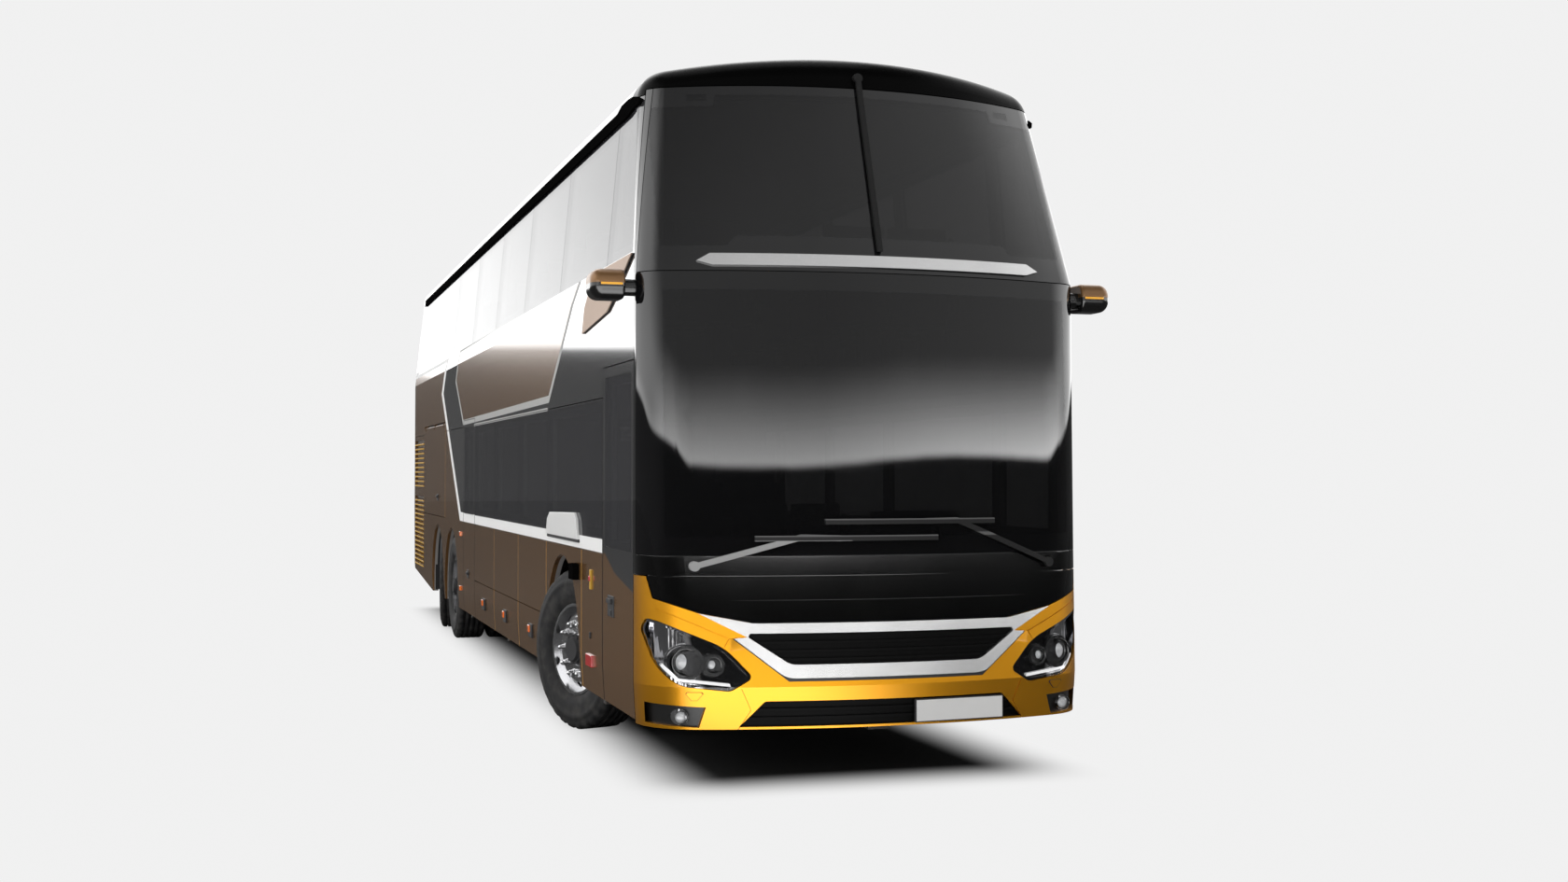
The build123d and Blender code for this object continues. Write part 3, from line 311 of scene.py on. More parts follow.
SEAT_SHELL = [
    # low and high corner of the pan, pedestal, foot and two arm rests
    ((-0.2, -0.22, 0.335), (0.2, 0.16, 0.35)),
    ((-0.06, -0.05, 0.0), (0.06, 0.1, 0.34)),
    ((-0.13, -0.14, 0.0), (0.13, 0.18, 0.02)),
    ((-0.232, -0.16, 0.6), (-0.192, 0.2, 0.635)),
    ((0.192, -0.16, 0.6), (0.232, 0.2, 0.635)),
]
BACK_SHELL = ((-0.2, 0.235, 0.36), (0.2, 0.262, 1.02))
BACK_FOOT, BACK_LEAN = (0, 0.25, 0.36), -0.07
shells = bmesh.new()
for low, high in SEAT_SHELL:
    slab(shells, low, high)
back = slab(shells, *BACK_SHELL)
bmesh.ops.rotate(shells, verts=back, cent=BACK_FOOT, matrix=Matrix.Rotation(BACK_LEAN, 3, "X"))
bmesh.ops.bevel(shells, geom=shells.edges, offset=0.006, segments=2, profile=0.5, affect="EDGES")
shell = keep_mesh("seat_shell", shells, moulding)
seat_shells = repeat("seat_shells", shell, seat_places, moulding)
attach(seat_shells, "coach_body")

# Dashboard and steering wheel: one grained plastic moulding with a soft top,
# fixed behind the lower windscreen in front of the driver.
dress(moulding, "dashboard")

# Side walls, skirts and luggage flaps: coachwork panels in bronze metallic with a clear coat, and the scheme
# of dark glass-like panels, light lines and white band, with gold lines along the seams painted as highlights
# and the fin's brown painted pale as its reflection.
BELT_Z = 2.875
BRONZE = rgb(0.235, 0.122, 0.047)
DARK = rgb(0.034, 0.034, 0.036)
LIGHT = rgb(0.4, 0.4, 0.39)
WHITE = rgb(0.92, 0.92, 0.91)
TRIM_GREY = rgb(0.32, 0.31, 0.3)
PAINTED_GOLD_GLINT = rgb(0.9, 0.5, 0.12)
SEAL_BLACK = grey(0.008)
FIN_PAINTED_REFLECTION = rgb(0.58, 0.44, 0.35)


def side_of(y, z, start, end):
    """Distance to the left of a line in the (y, z) plane, looking along it."""
    dy, dz = end[0] - start[0], end[1] - start[1]
    length = math.hypot(dy, dz)
    return (z - start[1]) * (dy / length) - (y - start[0]) * (dz / length)


def inside(y, z, corners):
    """Distance inside a convex outline whose corners run counter-clockwise in (y, z)."""
    depth = None
    for start, end in zip(corners, corners[1:] + corners[:1]):
        gap = side_of(y, z, start, end)
        depth = gap if depth is None else depth & gap
    return depth


def metallic_coat(place, colour):
    """The colour with the fine sparkle and slow drift of a metallic coat."""
    flake = 0.88 + 0.1 * place.noise(2600.0, 0.0) + 0.12 * place.noise(0.7)
    return flake.tint(grey(0), colour)


livery, shader, place = finish("coach_livery", Coat_IOR=1.5, Coat_Roughness=0.03)
x, y, z = place.parts()
EDGE = 0.004
PANEL = [(1.80, 2.862), (-4.78, 2.905), (-3.64, 2.21), (1.455, 2.186), (2.07, 2.593)]
PANEL_FRAME, FRAME_TOP_Z = 0.05, 2.965
REAR_SLANTS = [
    # y and z of a point, run back per metre down, scale to a distance
    (2.825, 2.886, 1.301, 0.61), (3.30, 2.521, -1.342, 0.6),
]
REAR_LINE = 0.11
SILL_SLOPES = [
    # y and z of a point, rise per metre back
    (-5.69, 1.21, 0.357), (-5.962, 1.113, 0.157),
]
SILL_Z, BAND_TOP_Z, BAND_FRONT_Y = 1.21, 1.297, -5.6
STRIP_Z, STRIP_Y = (2.104, 2.128), (-3.6, 0.6)
BELT_LINE_Z, BELT_LINE_Y = (2.835, 2.874), 2.85
WALL_X, LEAN_Z, LEAN_IN = 1.275, 2.75, 0.0941
LINING_X, FIN_X = -0.03, 0.007
DOOR_SEALS = [
    # front edge y, rear edge y, top z
    (-6.487, -5.613, 2.29), (0.546, 1.435, 2.18),
]
SEAL_HALF = 0.011
SKIRT_GAPS, SKIRT_TOP_Z = [-4.922, -3.552, -2.21, -0.809], 1.203
FLAP_GAP_Y, FLAP_GAP_Z = 3.098, (1.2, 2.18)

panel = inside(y, z, PANEL)
in_panel = panel.over(0.0, EDGE)
in_frame = panel.over(-PANEL_FRAME, EDGE) * (1 - in_panel)
high_slant, low_slant = [scale * (y - at_y - (at_z - z) * run) for at_y, at_z, run, scale in REAR_SLANTS]
behind = high_slant | low_slant
in_rear = behind.over(REAR_LINE, EDGE)
in_line = behind.over(0.0, EDGE) * (1 - in_rear)
steep, gentle = [at_z + rise * (y - at_y) for at_y, at_z, rise in SILL_SLOPES]
sill = (steep | gentle) & SILL_Z
in_low = (sill - z).over(0.0, EDGE)
in_band = (z - sill).over(0.0, EDGE) * z.under(BAND_TOP_Z, EDGE) * y.over(BAND_FRONT_Y, EDGE) * (1 - in_rear)
in_strip = z.between(*STRIP_Z, EDGE) * y.between(*STRIP_Y, EDGE)
in_belt = z.between(*BELT_LINE_Z, EDGE) * y.over(BELT_LINE_Y, EDGE)
low_deck = z.under(BELT_Z, EDGE)
proud = abs(x) - (WALL_X - LEAN_IN * ((z - LEAN_Z) | 0.0))
lined = proud.under(LINING_X, 0.01)
in_fin = proud.over(FIN_X, 0.004)
bronze = ((in_panel | in_rear | in_low) * low_deck) * (1 - in_belt) | in_fin
white = (in_band | in_line * (1 - in_low) | in_belt) * low_deck * (1 - in_fin)
light = (in_frame * z.under(FRAME_TOP_Z, EDGE) | in_strip) * (1 - in_rear) * (1 - in_fin)
front_seal, rear_seal = [
    (abs(y - front_y) & abs(y - rear_y)).under(SEAL_HALF, EDGE) * z.under(top_z, EDGE)
    for front_y, rear_y, top_z in DOOR_SEALS
]
seal = (front_seal | rear_seal) * x.under(0.0, 0.1)
flat = lined | in_fin | white | light
skirt_gap = abs(y - SKIRT_GAPS[0])
for gap_y in SKIRT_GAPS[1:]:
    skirt_gap = skirt_gap & abs(y - gap_y)
# Painted highlight: thin gold lines along the skirt seams and the luggage flap's front edge, where the seam
# edges catch the light.
painted_glint = skirt_gap.under(0.005, 0.002) * z.under(SKIRT_TOP_Z, EDGE)
painted_glint = painted_glint | abs(y - FLAP_GAP_Y).under(0.007, 0.002) * z.between(*FLAP_GAP_Z, EDGE)
coat = bronze.tint(DARK, metallic_coat(place, BRONZE))
coat = white.tint(light.tint(coat, LIGHT), WHITE)
coat = painted_glint.tint(coat, PAINTED_GOLD_GLINT)
# Painted reflection: the fin's bronze brown is lightened to a pale matte tone in place of the white it
# mirrors.
coat = in_fin.tint(seal.tint(coat, SEAL_BLACK), FIN_PAINTED_REFLECTION)
feed(shader, Base_Color=lined.tint(coat, TRIM_GREY))
feed(shader, Metallic=bronze * (1 - white) * (1 - light) * (1 - flat) * (1 - painted_glint) * 0.45)
feed(shader, Roughness=(0.1 + 0.1 * bronze) | 0.6 * flat)
feed(shader, Coat_Weight=(0.9 - 0.5 * bronze) * (1 - flat))
dress(livery, "side_wall_upper_right", "side_wall_upper_left")
dress(livery, "side_wall_lower_right", "side_wall_lower_left", "skirt_panels")
dress(livery, "luggage_flap_right", "luggage_flap_left", "front_door", "rear_door")

# Tail: moulded end wall, lifting engine flap and bumper, bronze below the belt
# and dark round the rear window.
TAIL_DARK_Z = 2.86
tail_paint, shader, place = finish("tail_paint", Coat_IOR=1.5, Coat_Roughness=0.03, Coat_Weight=0.5)
x, y, z = place.parts()
upper = z.over(TAIL_DARK_Z, EDGE)
feed(shader, Base_Color=upper.tint(metallic_coat(place, BRONZE), DARK))
feed(shader, Metallic=0.45 * (1 - upper))
feed(shader, Roughness=0.26 - 0.16 * upper)
dress(tail_paint, "rear_wall", "engine_flap", "rear_bumper")

# Rear lamps: red lenses with an amber field, moulded ribs behind a smooth clear
# face, set into the tail.
AMBER_Z = (1.28, 1.42)
red_lens, shader, place = finish("red_lens", Roughness=0.12, Coat_Weight=1.0, Coat_Roughness=0.02)
x, y, z = place.parts()
ribs = (z * 420).apply("SINE")
amber = z.between(*AMBER_Z, 0.006)
feed(shader, Base_Color=amber.tint(rgb(0.36, 0.006, 0.008), rgb(0.75, 0.2, 0.01)))
feed(shader, Normal=ribs.bump(0.3, 0.002))
dress(red_lens, "rear_lamps")

# Roof: pale pearl shell, a black rubber rain strip below each edge with a scoop at its
# front end, and a black gloss dome over the upper windscreen.
roof_paint, shader, place = finish("roof_paint", Coat_Weight=0.6, Coat_Roughness=0.05)
x, y, z = place.parts()
SEAM_PITCH = 2.0
seam = abs((y * (1 / SEAM_PITCH)).apply("FRACT") - 0.5).over(0.497, 0.003)
drift = place.noise(1.3, 3.0)
feed(shader, Base_Color=drift.tint(rgb(0.70, 0.70, 0.69), rgb(0.80, 0.80, 0.79)))
feed(shader, Roughness=0.3 + 0.1 * drift)
feed(shader, Normal=(1 - seam).bump(0.4, 0.004))
dress(roof_paint, "roof_shell")

STRIP = [
    # y, z
    (6.2, 3.705), (6.2, 3.779), (-5.62, 3.779), (-5.737, 3.806), (-5.923, 3.806), (-6.05, 3.797),
    (-6.15, 3.778), (-6.205, 3.752), (-6.19, 3.728), (-6.068, 3.722), (-5.95, 3.706),
]
STRIP_DEPTHS = (-0.012, 0.017)
CORNER_Y, CORNER_BEND = -6.114, 1.1


def clouded(name, scale, low, high, rough, spread, grain, **constants):
    """A finish clouded between two colours, with a fine grain in its roughness."""
    made, shader, place = finish(name, **constants)
    feed(shader, Base_Color=place.noise(scale).tint(low, high))
    feed(shader, Roughness=rough + spread * place.noise(grain))
    return made


rain_rubber = clouded("rain_rubber", 40.0, grey(0.002), grey(0.005), 0.6, 0.2, 90.0, Specular_IOR_Level=0.0)
strips = bmesh.new()
for hand in (-1, 1):
    rings = []
    for proud in STRIP_DEPTHS:
        ring = []
        for at_y, at_z in STRIP:
            bend = CORNER_BEND * max(CORNER_Y - at_y, 0.0) ** 2
            out = WALL_X - LEAN_IN * (at_z - LEAN_Z) - bend + proud
            ring.append(strips.verts.new((hand * out, at_y, at_z)))
        rings.append(ring)
    for ring in rings:
        strips.faces.new(ring)
    for i in range(len(STRIP)):
        j = (i + 1) % len(STRIP)
        strips.faces.new((rings[0][i], rings[0][j], rings[1][j], rings[1][i]))
bmesh.ops.triangulate(strips, faces=[face for face in strips.faces if len(face.verts) > 4])
rain_strips = keep_mesh("rain_strips", strips, rain_rubber, smooth=False)
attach(rain_strips, "coach_body")

gloss_black, shader, place = finish(
    "gloss_black", Coat_Weight=1.0, Coat_Roughness=0.02, Specular_IOR_Level=0.3)
feed(shader, Base_Color=place.noise(2.0).tint(grey(0.001), grey(0.002)))
feed(shader, Roughness=0.06 + 0.03 * place.noise(4.0, 3.0))
feed(shader, Normal=place.noise(180.0, 1.0).bump(0.02, 0.001))
dress(gloss_black, "front_mask", "front_frame")
dome_black, shader, place = finish("dome_black", Specular_IOR_Level=0.03)
feed(shader, Base_Color=place.noise(2.0).tint(grey(0.0015), grey(0.003)))
feed(shader, Roughness=0.2 + 0.08 * place.noise(4.0, 3.0))
dress(dome_black, "roof_front_cap")

# Windscreens and side panes: dark laminated glass bonded flush, with a printed black
# border that hides the bond line. The lower windscreen is a copy of the CAD pane whose
# normals are evened out, so that it mirrors as one bent sheet.
smoke_glass, shader, place = finish("smoke_glass", IOR=1.55, Alpha=0.72)
smear = place.noise(2.5, 4.0)
feed(shader, Base_Color=smear.tint(rgb(0.042, 0.042, 0.046), rgb(0.054, 0.054, 0.06)))
feed(shader, Roughness=0.015 + 0.02 * smear)
dress(smoke_glass, "side_glass_right", "side_glass_left", "rear_window")
dress(smoke_glass, "front_door_glass", "rear_door_glass")

UPPER_FOOT_Z, LOWER_BORDER_Z, BORDER_X = 2.65, 1.34, 1.16
SLOT_X, SLOT_Z, SLOT_HALF_X, SLOT_HALF_Z = 0.905, 3.742, 0.052, 0.02
screen_glass, shader, place = finish("screen_glass", IOR=1.6)
x, y, z = place.parts()
smear = place.noise(2.0, 4.0)
low_edge = 2.945 - 0.055 * abs(x).over(0.795, 0.07)
top_edge = 3.757 - 0.067 * abs(x).over(0.815, 0.02)
slot = abs(abs(x) - SLOT_X).under(SLOT_HALF_X, 0.006) * abs(z - SLOT_Z).under(SLOT_HALF_Z, 0.006)
border = z.over(UPPER_FOOT_Z, 0.01) * (z - low_edge).under(0.0, 0.01) | z.under(LOWER_BORDER_Z, 0.02)
border = border | (z - top_edge).over(0.0, 0.01) * (1 - slot) | abs(x).over(BORDER_X, 0.02)
feed(shader, Base_Color=smear.tint(rgb(0.004, 0.004, 0.0045), rgb(0.007, 0.007, 0.0075)))
feed(shader, Roughness=0.012 + 0.015 * smear)
feed(shader, Alpha=0.78 + 0.22 * border)
dress(screen_glass, "windscreen_upper")
SMOOTH_WIDE, SMOOTH_TALL, SAME_FACE, MERGE = 0.08, 0.3, 0.8, 0.00001
screen_mesh = nodes["windscreen_lower"].data.copy()
corners = [corner.vertex_index for corner in screen_mesh.loops]
facing = [None] * len(screen_mesh.vertices)
for index, normal in zip(corners, screen_mesh.corner_normals):
    facing[index] = normal.vector.copy()
finder = KDTree(len(facing))
for vert in screen_mesh.vertices:
    finder.insert(vert.co, vert.index)
finder.balance()
even = []
for vert in screen_mesh.vertices:
    total = Vector()
    for spot, index, gap in finder.find_range(vert.co, SMOOTH_TALL):
        tall = (spot.z - vert.co.z) ** 2
        weight = 1 - tall / SMOOTH_TALL ** 2 - (gap ** 2 - tall) / SMOOTH_WIDE ** 2
        if weight > 0 and facing[index].dot(facing[vert.index]) > SAME_FACE:
            total += facing[index] * weight
    even.append(total.normalized())
merged = bmesh.new()
merged.from_mesh(screen_mesh)
bmesh.ops.remove_doubles(merged, verts=merged.verts, dist=MERGE)
merged.to_mesh(screen_mesh)
merged.free()
screen_mesh.normals_split_custom_set([even[index] for index in corners])
screen_mesh.materials.clear()
screen_mesh.materials.append(screen_glass)
lower_screen = bpy.data.objects.new("lower_screen", screen_mesh)
bpy.context.collection.objects.link(lower_screen)
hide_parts("windscreen_lower")
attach(lower_screen, "coach_body")

# Front bumper: one bronze moulding round the nose, with black fog lamp pockets and a painted shadow,
# a black band on the bumper along the foot of the grille's surround.
FOG_POCKET = [(1.0, 0.35), (1.24, 0.362), (1.246, 0.47), (0.968, 0.456)]
SHADOW_LOW_Z, SHADOW_LOW_WIDE = 0.604, 0.017
SHADOW_SLANT, SHADOW_SLANT_WIDE = [(0.58, 0.622), (0.823, 0.812)], 0.006
SHADOW_Z, SHADOW_X = (0.57, 0.81), 0.85
BUMPER_GOLD = rgb(0.68, 0.3, 0.012)
POCKET_AND_SHADOW_BLACK = grey(0.006)
bumper_paint, shader, place = finish("bumper_paint", Coat_IOR=1.5, Coat_Roughness=0.03)
x, y, z = place.parts()
pocket = inside(abs(x), z, FOG_POCKET).over(0.0, 0.003)
bottom = (SHADOW_LOW_Z - z) * (1 / SHADOW_LOW_WIDE)
slant = side_of(abs(x), z, *SHADOW_SLANT) * (-1 / SHADOW_SLANT_WIDE)
# Painted shadow: a black band on the bumper under the surround's lower and slanted edges.
gap = (bottom | slant).under(1.0, 0.15)
black = pocket | gap * z.between(*SHADOW_Z, EDGE) * abs(x).under(SHADOW_X, EDGE)
feed(shader, Base_Color=black.tint(metallic_coat(place, BUMPER_GOLD), POCKET_AND_SHADOW_BLACK))
feed(shader, Metallic=0.92 * (1 - black))
feed(shader, Coat_Weight=0.3 * (1 - black))
feed(shader, Roughness=0.34 + 0.06 * place.noise(3.0))
dress(bumper_paint, "front_bumper")

# Front trim and grille: satin chrome surround and screen bar round a black insert, and a fine crease line
# across the mask above them, painted grey as a highlight on the black mask.
satin_chrome, shader, place = finish("satin_chrome", Metallic=0.8)
brush = place.noise(4.0, 2.0)
feed(shader, Base_Color=brush.tint(grey(0.7), grey(0.78)))
feed(shader, Roughness=0.2 + 0.06 * brush)
dress(satin_chrome, "front_trim")
grille_black = clouded(
    "grille_black", 30.0, grey(0.002), grey(0.005), 0.4, 0.1, 80.0, Specular_IOR_Level=0.05)
dress(grille_black, "front_grille")
CREASE_Z, CREASE_HALF, CREASE_STEPS = 1.01, 0.846, 36
CREASE_SIZE, CREASE_END, CREASE_ROOT = 0.0035, 0.0004, 0.006
MASK_FRONT_Y, MASK_RADIUS = -6.9636, 3.5
# Painted highlight: the crease ridge is grey where the gloss black mask shows a light line.
crease_highlight = clouded("crease_highlight", 8.0, grey(0.045), grey(0.07), 0.4, 0.1, 60.0, Specular_IOR_Level=0.3)
crease = bmesh.new()
rings = []
for i in range(CREASE_STEPS + 1):
    along = 2 * i / CREASE_STEPS - 1
    at_x = CREASE_HALF * along
    skin_y = MASK_FRONT_Y + MASK_RADIUS - math.sqrt(MASK_RADIUS ** 2 - at_x ** 2)
    size = CREASE_SIZE * (1 - along ** 6) + CREASE_END
    section = [(CREASE_ROOT, -size), (-size, 0.0), (CREASE_ROOT, size)]
    rings.append([crease.verts.new((at_x, skin_y + dy, CREASE_Z + dz)) for dy, dz in section])
for near, far in zip(rings, rings[1:]):
    for a, b in ((0, 1), (1, 2), (2, 0)):
        crease.faces.new((near[a], near[b], far[b], far[a]))
crease.faces.new(rings[0])
crease.faces.new(rings[-1])
mask_crease = keep_mesh("mask_crease", crease, crease_highlight, smooth=False)
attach(mask_crease, "coach_body")

# Headlamps and fog lamps: chrome and black bowls with projector barrels and a white light
# guide, bezels and glass lenses in the barrels, and clear covers over them.
PROJECTORS = [
    # x, lens face y, z, barrel radius, lens radius
    (1.062, -6.782, 0.686, 0.074, 0.048),
    (0.925, -6.832, 0.672, 0.043, 0.026),
    (1.090, -6.800, 0.402, 0.036, 0.030),
]
GUIDE_LOW = [(0.838, 0.560), (1.105, 0.588), (1.098, 0.603), (0.842, 0.576)]
GUIDE_SIDE = [(1.105, 0.588), (1.180, 0.664), (1.168, 0.676), (1.098, 0.603)]
GUIDE_BACK_Y, BARREL_RIM, FOG_TOP_Z = -6.62, 0.02, 0.5
lamp_bowl, shader, place = finish("lamp_bowl", Emission_Strength=0.5)
x, y, z = place.parts()
wide = abs(x)
guide = inside(wide, z, GUIDE_LOW) | inside(wide, z, GUIDE_SIDE)
guide = guide.over(0.0, 0.003) * y.under(GUIDE_BACK_Y, 0.02)
barrel = None
for lens_x, lens_y, lens_z, barrel_r, lens_r in PROJECTORS[:2]:
    square = (wide - lens_x) * (wide - lens_x) + (z - lens_z) * (z - lens_z)
    ring = (square.apply("SQRT") - barrel_r).under(BARREL_RIM, 0.004)
    barrel = ring if barrel is None else barrel | ring
fog = z.under(FOG_TOP_Z, 0.01)
shiny = (wide - 0.25 * (z - 0.686)).over(1.02, 0.05) * (1 - barrel) | fog
ribs = (x * 330).apply("SINE")
chrome = place.noise(9.0).tint(rgb(0.6, 0.6, 0.61), rgb(0.92, 0.92, 0.94))
feed(shader, Base_Color=guide.tint(shiny.tint(rgb(0.01, 0.01, 0.011), chrome), rgb(0.85, 0.85, 0.86)))
feed(shader, Emission_Color=guide.tint(grey(0), grey(1)))
feed(shader, Metallic=shiny * (1 - guide))
feed(shader, Roughness=0.07 + 0.12 * barrel)
feed(shader, Normal=(ribs * shiny).bump(0.25, 0.002))
dress(lamp_bowl, "front_lamps")

clear_cover, shader, place = finish("clear_cover", IOR=1.45, Base_Color=grey(0.04))
haze = place.noise(3.0, 2.0)
feed(shader, Roughness=0.02 + 0.02 * haze)
feed(shader, Alpha=0.02 + 0.02 * haze)
dress(clear_cover, "headlamp_covers")

lens_glass, shader, place = finish(
    "lens_glass", Coat_Weight=1.0, Coat_Roughness=0.01, Emission_Strength=0.18)
glow = place.noise(25.0).tint(rgb(0.3, 0.31, 0.32), rgb(0.8, 0.81, 0.83))
feed(shader, Base_Color=glow, Emission_Color=glow)
feed(shader, Roughness=0.05 + 0.05 * place.noise(40.0))
lenses = bmesh.new()
bezels = bmesh.new()
for hand in (-1, 1):
    for lens_x, lens_y, lens_z, barrel_r, lens_r in PROJECTORS:
        middle = Matrix.Translation((hand * lens_x, lens_y, lens_z))
        flat = middle @ Matrix.Translation((0, 0.3 * lens_r, 0)) @ Matrix.Diagonal((1, 0.45, 1, 1))
        bmesh.ops.create_uvsphere(lenses, u_segments=40, v_segments=24, radius=lens_r, matrix=flat)
        barrel_ring = (barrel_r, 0.8 * barrel_r, 0.012, 0.012)
        lens_ring = (1.12 * lens_r, lens_r, 0.01, 0.002)
        for wide_r, narrow_r, depth, forward in (barrel_ring, lens_ring):
            face = middle @ Matrix.Translation((0, -forward, 0)) @ Matrix.Rotation(math.pi / 2, 4, "X")
            bmesh.ops.create_cone(bezels, cap_ends=False, segments=48, radius1=narrow_r, radius2=wide_r,
                                  depth=depth, matrix=face)
headlamp_lenses = keep_mesh("headlamp_lenses", lenses, lens_glass)
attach(headlamp_lenses, "coach_body")
lens_bezels = keep_mesh("lens_bezels", bezels, gloss_black)
wall = lens_bezels.modifiers.new("wall", "SOLIDIFY")
wall.thickness = 0.0015
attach(lens_bezels, "coach_body")

# Number plates: blank white plates in thin dark holders on the intake bars and on the
# engine flap, and the two small flush covers of the tow eyes, in the bumper's colour with
# a dark gap round them.
plate_white = clouded(
    "plate_white", 5.0, rgb(0.84, 0.84, 0.83), rgb(0.88, 0.88, 0.87), 0.3, 0.1, 60.0, Specular_IOR_Level=0.4)


def fitting(name, boxes, bevel, finish_of, body, place=None):
    """Boxes with rounded edges, joined into one piece that rides on a body."""
    mesh = bmesh.new()
    for low, high in boxes:
        slab(mesh, low, high)
    bmesh.ops.bevel(mesh, geom=mesh.edges, offset=bevel, segments=3, profile=0.5, affect="EDGES")
    if place is not None:
        mesh.transform(place)
    made = keep_mesh(name, mesh, finish_of, smooth=False)
    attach(made, body)


def raised_plate(mesh, corners, lift):
    """Adds a flat plate on its corners, drawn out by the lift."""
    face = mesh.faces.new([mesh.verts.new(corner) for corner in corners])
    drawn = bmesh.ops.extrude_face_region(mesh, geom=[face])
    moved = [item for item in drawn["geom"] if isinstance(item, bmesh.types.BMVert)]
    bmesh.ops.translate(mesh, verts=moved, vec=lift)


PLATE_X, PLATE_Z = 0.26, 0.056
HOLDER_X, HOLDER_Z = 0.266, 0.062
on_bumper = Matrix.Translation((0.405, -6.973, 0.415)) @ Matrix.Rotation(math.radians(6.4), 4, "Z")
plate_box = [((-PLATE_X, -0.005, -PLATE_Z), (PLATE_X, 0.0, PLATE_Z))]
fitting("number_plate", plate_box, 0.0015, plate_white, "coach_body", on_bumper)
holder = [
    ((-HOLDER_X, -0.003, -HOLDER_Z), (HOLDER_X, 0.012, HOLDER_Z)),
    ((-0.2, 0.01, -0.04), (0.2, 0.05, 0.04)),
]
fitting("plate_holder", holder, 0.001, moulding, "coach_body", on_bumper)
on_flap = Matrix.Translation((0, 6.994, 1.5)) @ Matrix.Rotation(0.0265, 4, "X")
rear_plate = [((-PLATE_X, 0.003, -PLATE_Z), (PLATE_X, 0.008, PLATE_Z))]
fitting("rear_number_plate", rear_plate, 0.0015, plate_white, "engine_flap", on_flap)
rear_holder = [((-HOLDER_X, -0.012, -HOLDER_Z), (HOLDER_X, 0.006, HOLDER_Z))]
fitting("rear_plate_holder", rear_holder, 0.001, moulding, "engine_flap", on_flap)

TOW_X, TOW_Y, TOW_Z = 1.025, -6.843, 0.513
TOW_TURN, TOW_LEAN, TOW_ROOT = 0.358, -0.069, 0.004
TOW_COVER = [
    # x, z from the middle of the cover
    (-0.041, 0.013), (-0.034, 0.021), (0.034, 0.021), (0.041, 0.013), (0.014, -0.020), (-0.014, -0.020),
]
for name, grow, proud, finish_of, slot in (
    ("tow_cover_gaps", 1.09, 0.0016, moulding, "matte_black"),
    ("tow_covers", 1.0, 0.0026, bumper_paint, "body_paint"),
):
    covers = bmesh.new()
    for hand in (-1, 1):
        corners = []
        for dx, dz in TOW_COVER:
            deep = TOW_Y + grow * (TOW_TURN * dx + TOW_LEAN * dz) + TOW_ROOT
            corners.append((hand * (TOW_X + grow * dx), deep, TOW_Z + grow * dz))
        reach = proud + TOW_ROOT
        raised_plate(covers, corners, (hand * TOW_TURN * reach, -reach, TOW_LEAN * reach))
    made = keep_mesh(name, covers, finish_of, smooth=False)
    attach(made, "coach_body")

# Wipers and mirrors: black arms, the near lower wiper arm bare grey, and wings
# in bronze above a black base.
BARE_X, BARE_Z = -0.2, 1.321
BLADE_EDGES = [
    # low z, high z
    (1.341, 1.36), (1.428, 1.5),
]
WING_X, WING_Z = 1.335, 2.69
wiper_black, shader, place = finish("wiper_black", Specular_IOR_Level=0.2)
x, y, z = place.parts()
bare = x.under(BARE_X, 0.01) * z.under(BARE_Z, 0.003)
near_edge, far_edge = [z.over(low_z, 0.002) * z.under(high_z, 0.01) for low_z, high_z in BLADE_EDGES]
line = near_edge | far_edge
coat = line.tint(grey(0.012), grey(0.13))
feed(shader, Base_Color=bare.tint(coat, grey(0.36)))
feed(shader, Roughness=0.4 + 0.15 * place.noise(120.0))
dress(wiper_black, "wipers")
mirror_paint, shader, place = finish("mirror_paint", Coat_Weight=0.3, Coat_Roughness=0.05)
x, y, z = place.parts()
wing = z.over(WING_Z, 0.003) * abs(x).over(WING_X, 0.003)
feed(shader, Base_Color=wing.tint(grey(0.008), metallic_coat(place, BRONZE)))
feed(shader, Metallic=0.45 * wing)
feed(shader, Roughness=0.2 + 0.16 * wing)
dress(mirror_paint, "mirrors")


def lit_lens(name, strength, low, high):
    """A clear-coated lens that glows a little, clouded between two colours."""
    made, shader, place = finish(name, Coat_Weight=1.0, Coat_Roughness=0.02, Emission_Strength=strength)
    glow = place.noise(30.0).tint(low, high)
    feed(shader, Base_Color=glow, Emission_Color=glow)
    feed(shader, Roughness=0.15 + 0.1 * place.noise(80.0))
    return made


amber_lens = lit_lens("amber_lens", 0.35, rgb(0.85, 0.36, 0.02), rgb(0.95, 0.5, 0.05))
mirror_glass, shader, place = finish("mirror_glass", Metallic=1.0, Base_Color=rgb(0.72, 0.74, 0.76))
feed(shader, Roughness=0.01 + 0.02 * place.noise(2.0))
blinkers = []
panes = []
for low_x, high_x in ((-1.47, -1.352), (1.352, 1.47)):
    blinkers.append(((low_x, -6.5725, 2.679), (high_x, -6.562, 2.691)))
    panes.append(((low_x, -6.352, 2.637), (high_x, -6.335, 2.737)))
fitting("mirror_blinkers", blinkers, 0.002, amber_lens, "coach_body")
fitting("mirror_panes", panes, 0.004, mirror_glass, "coach_body")

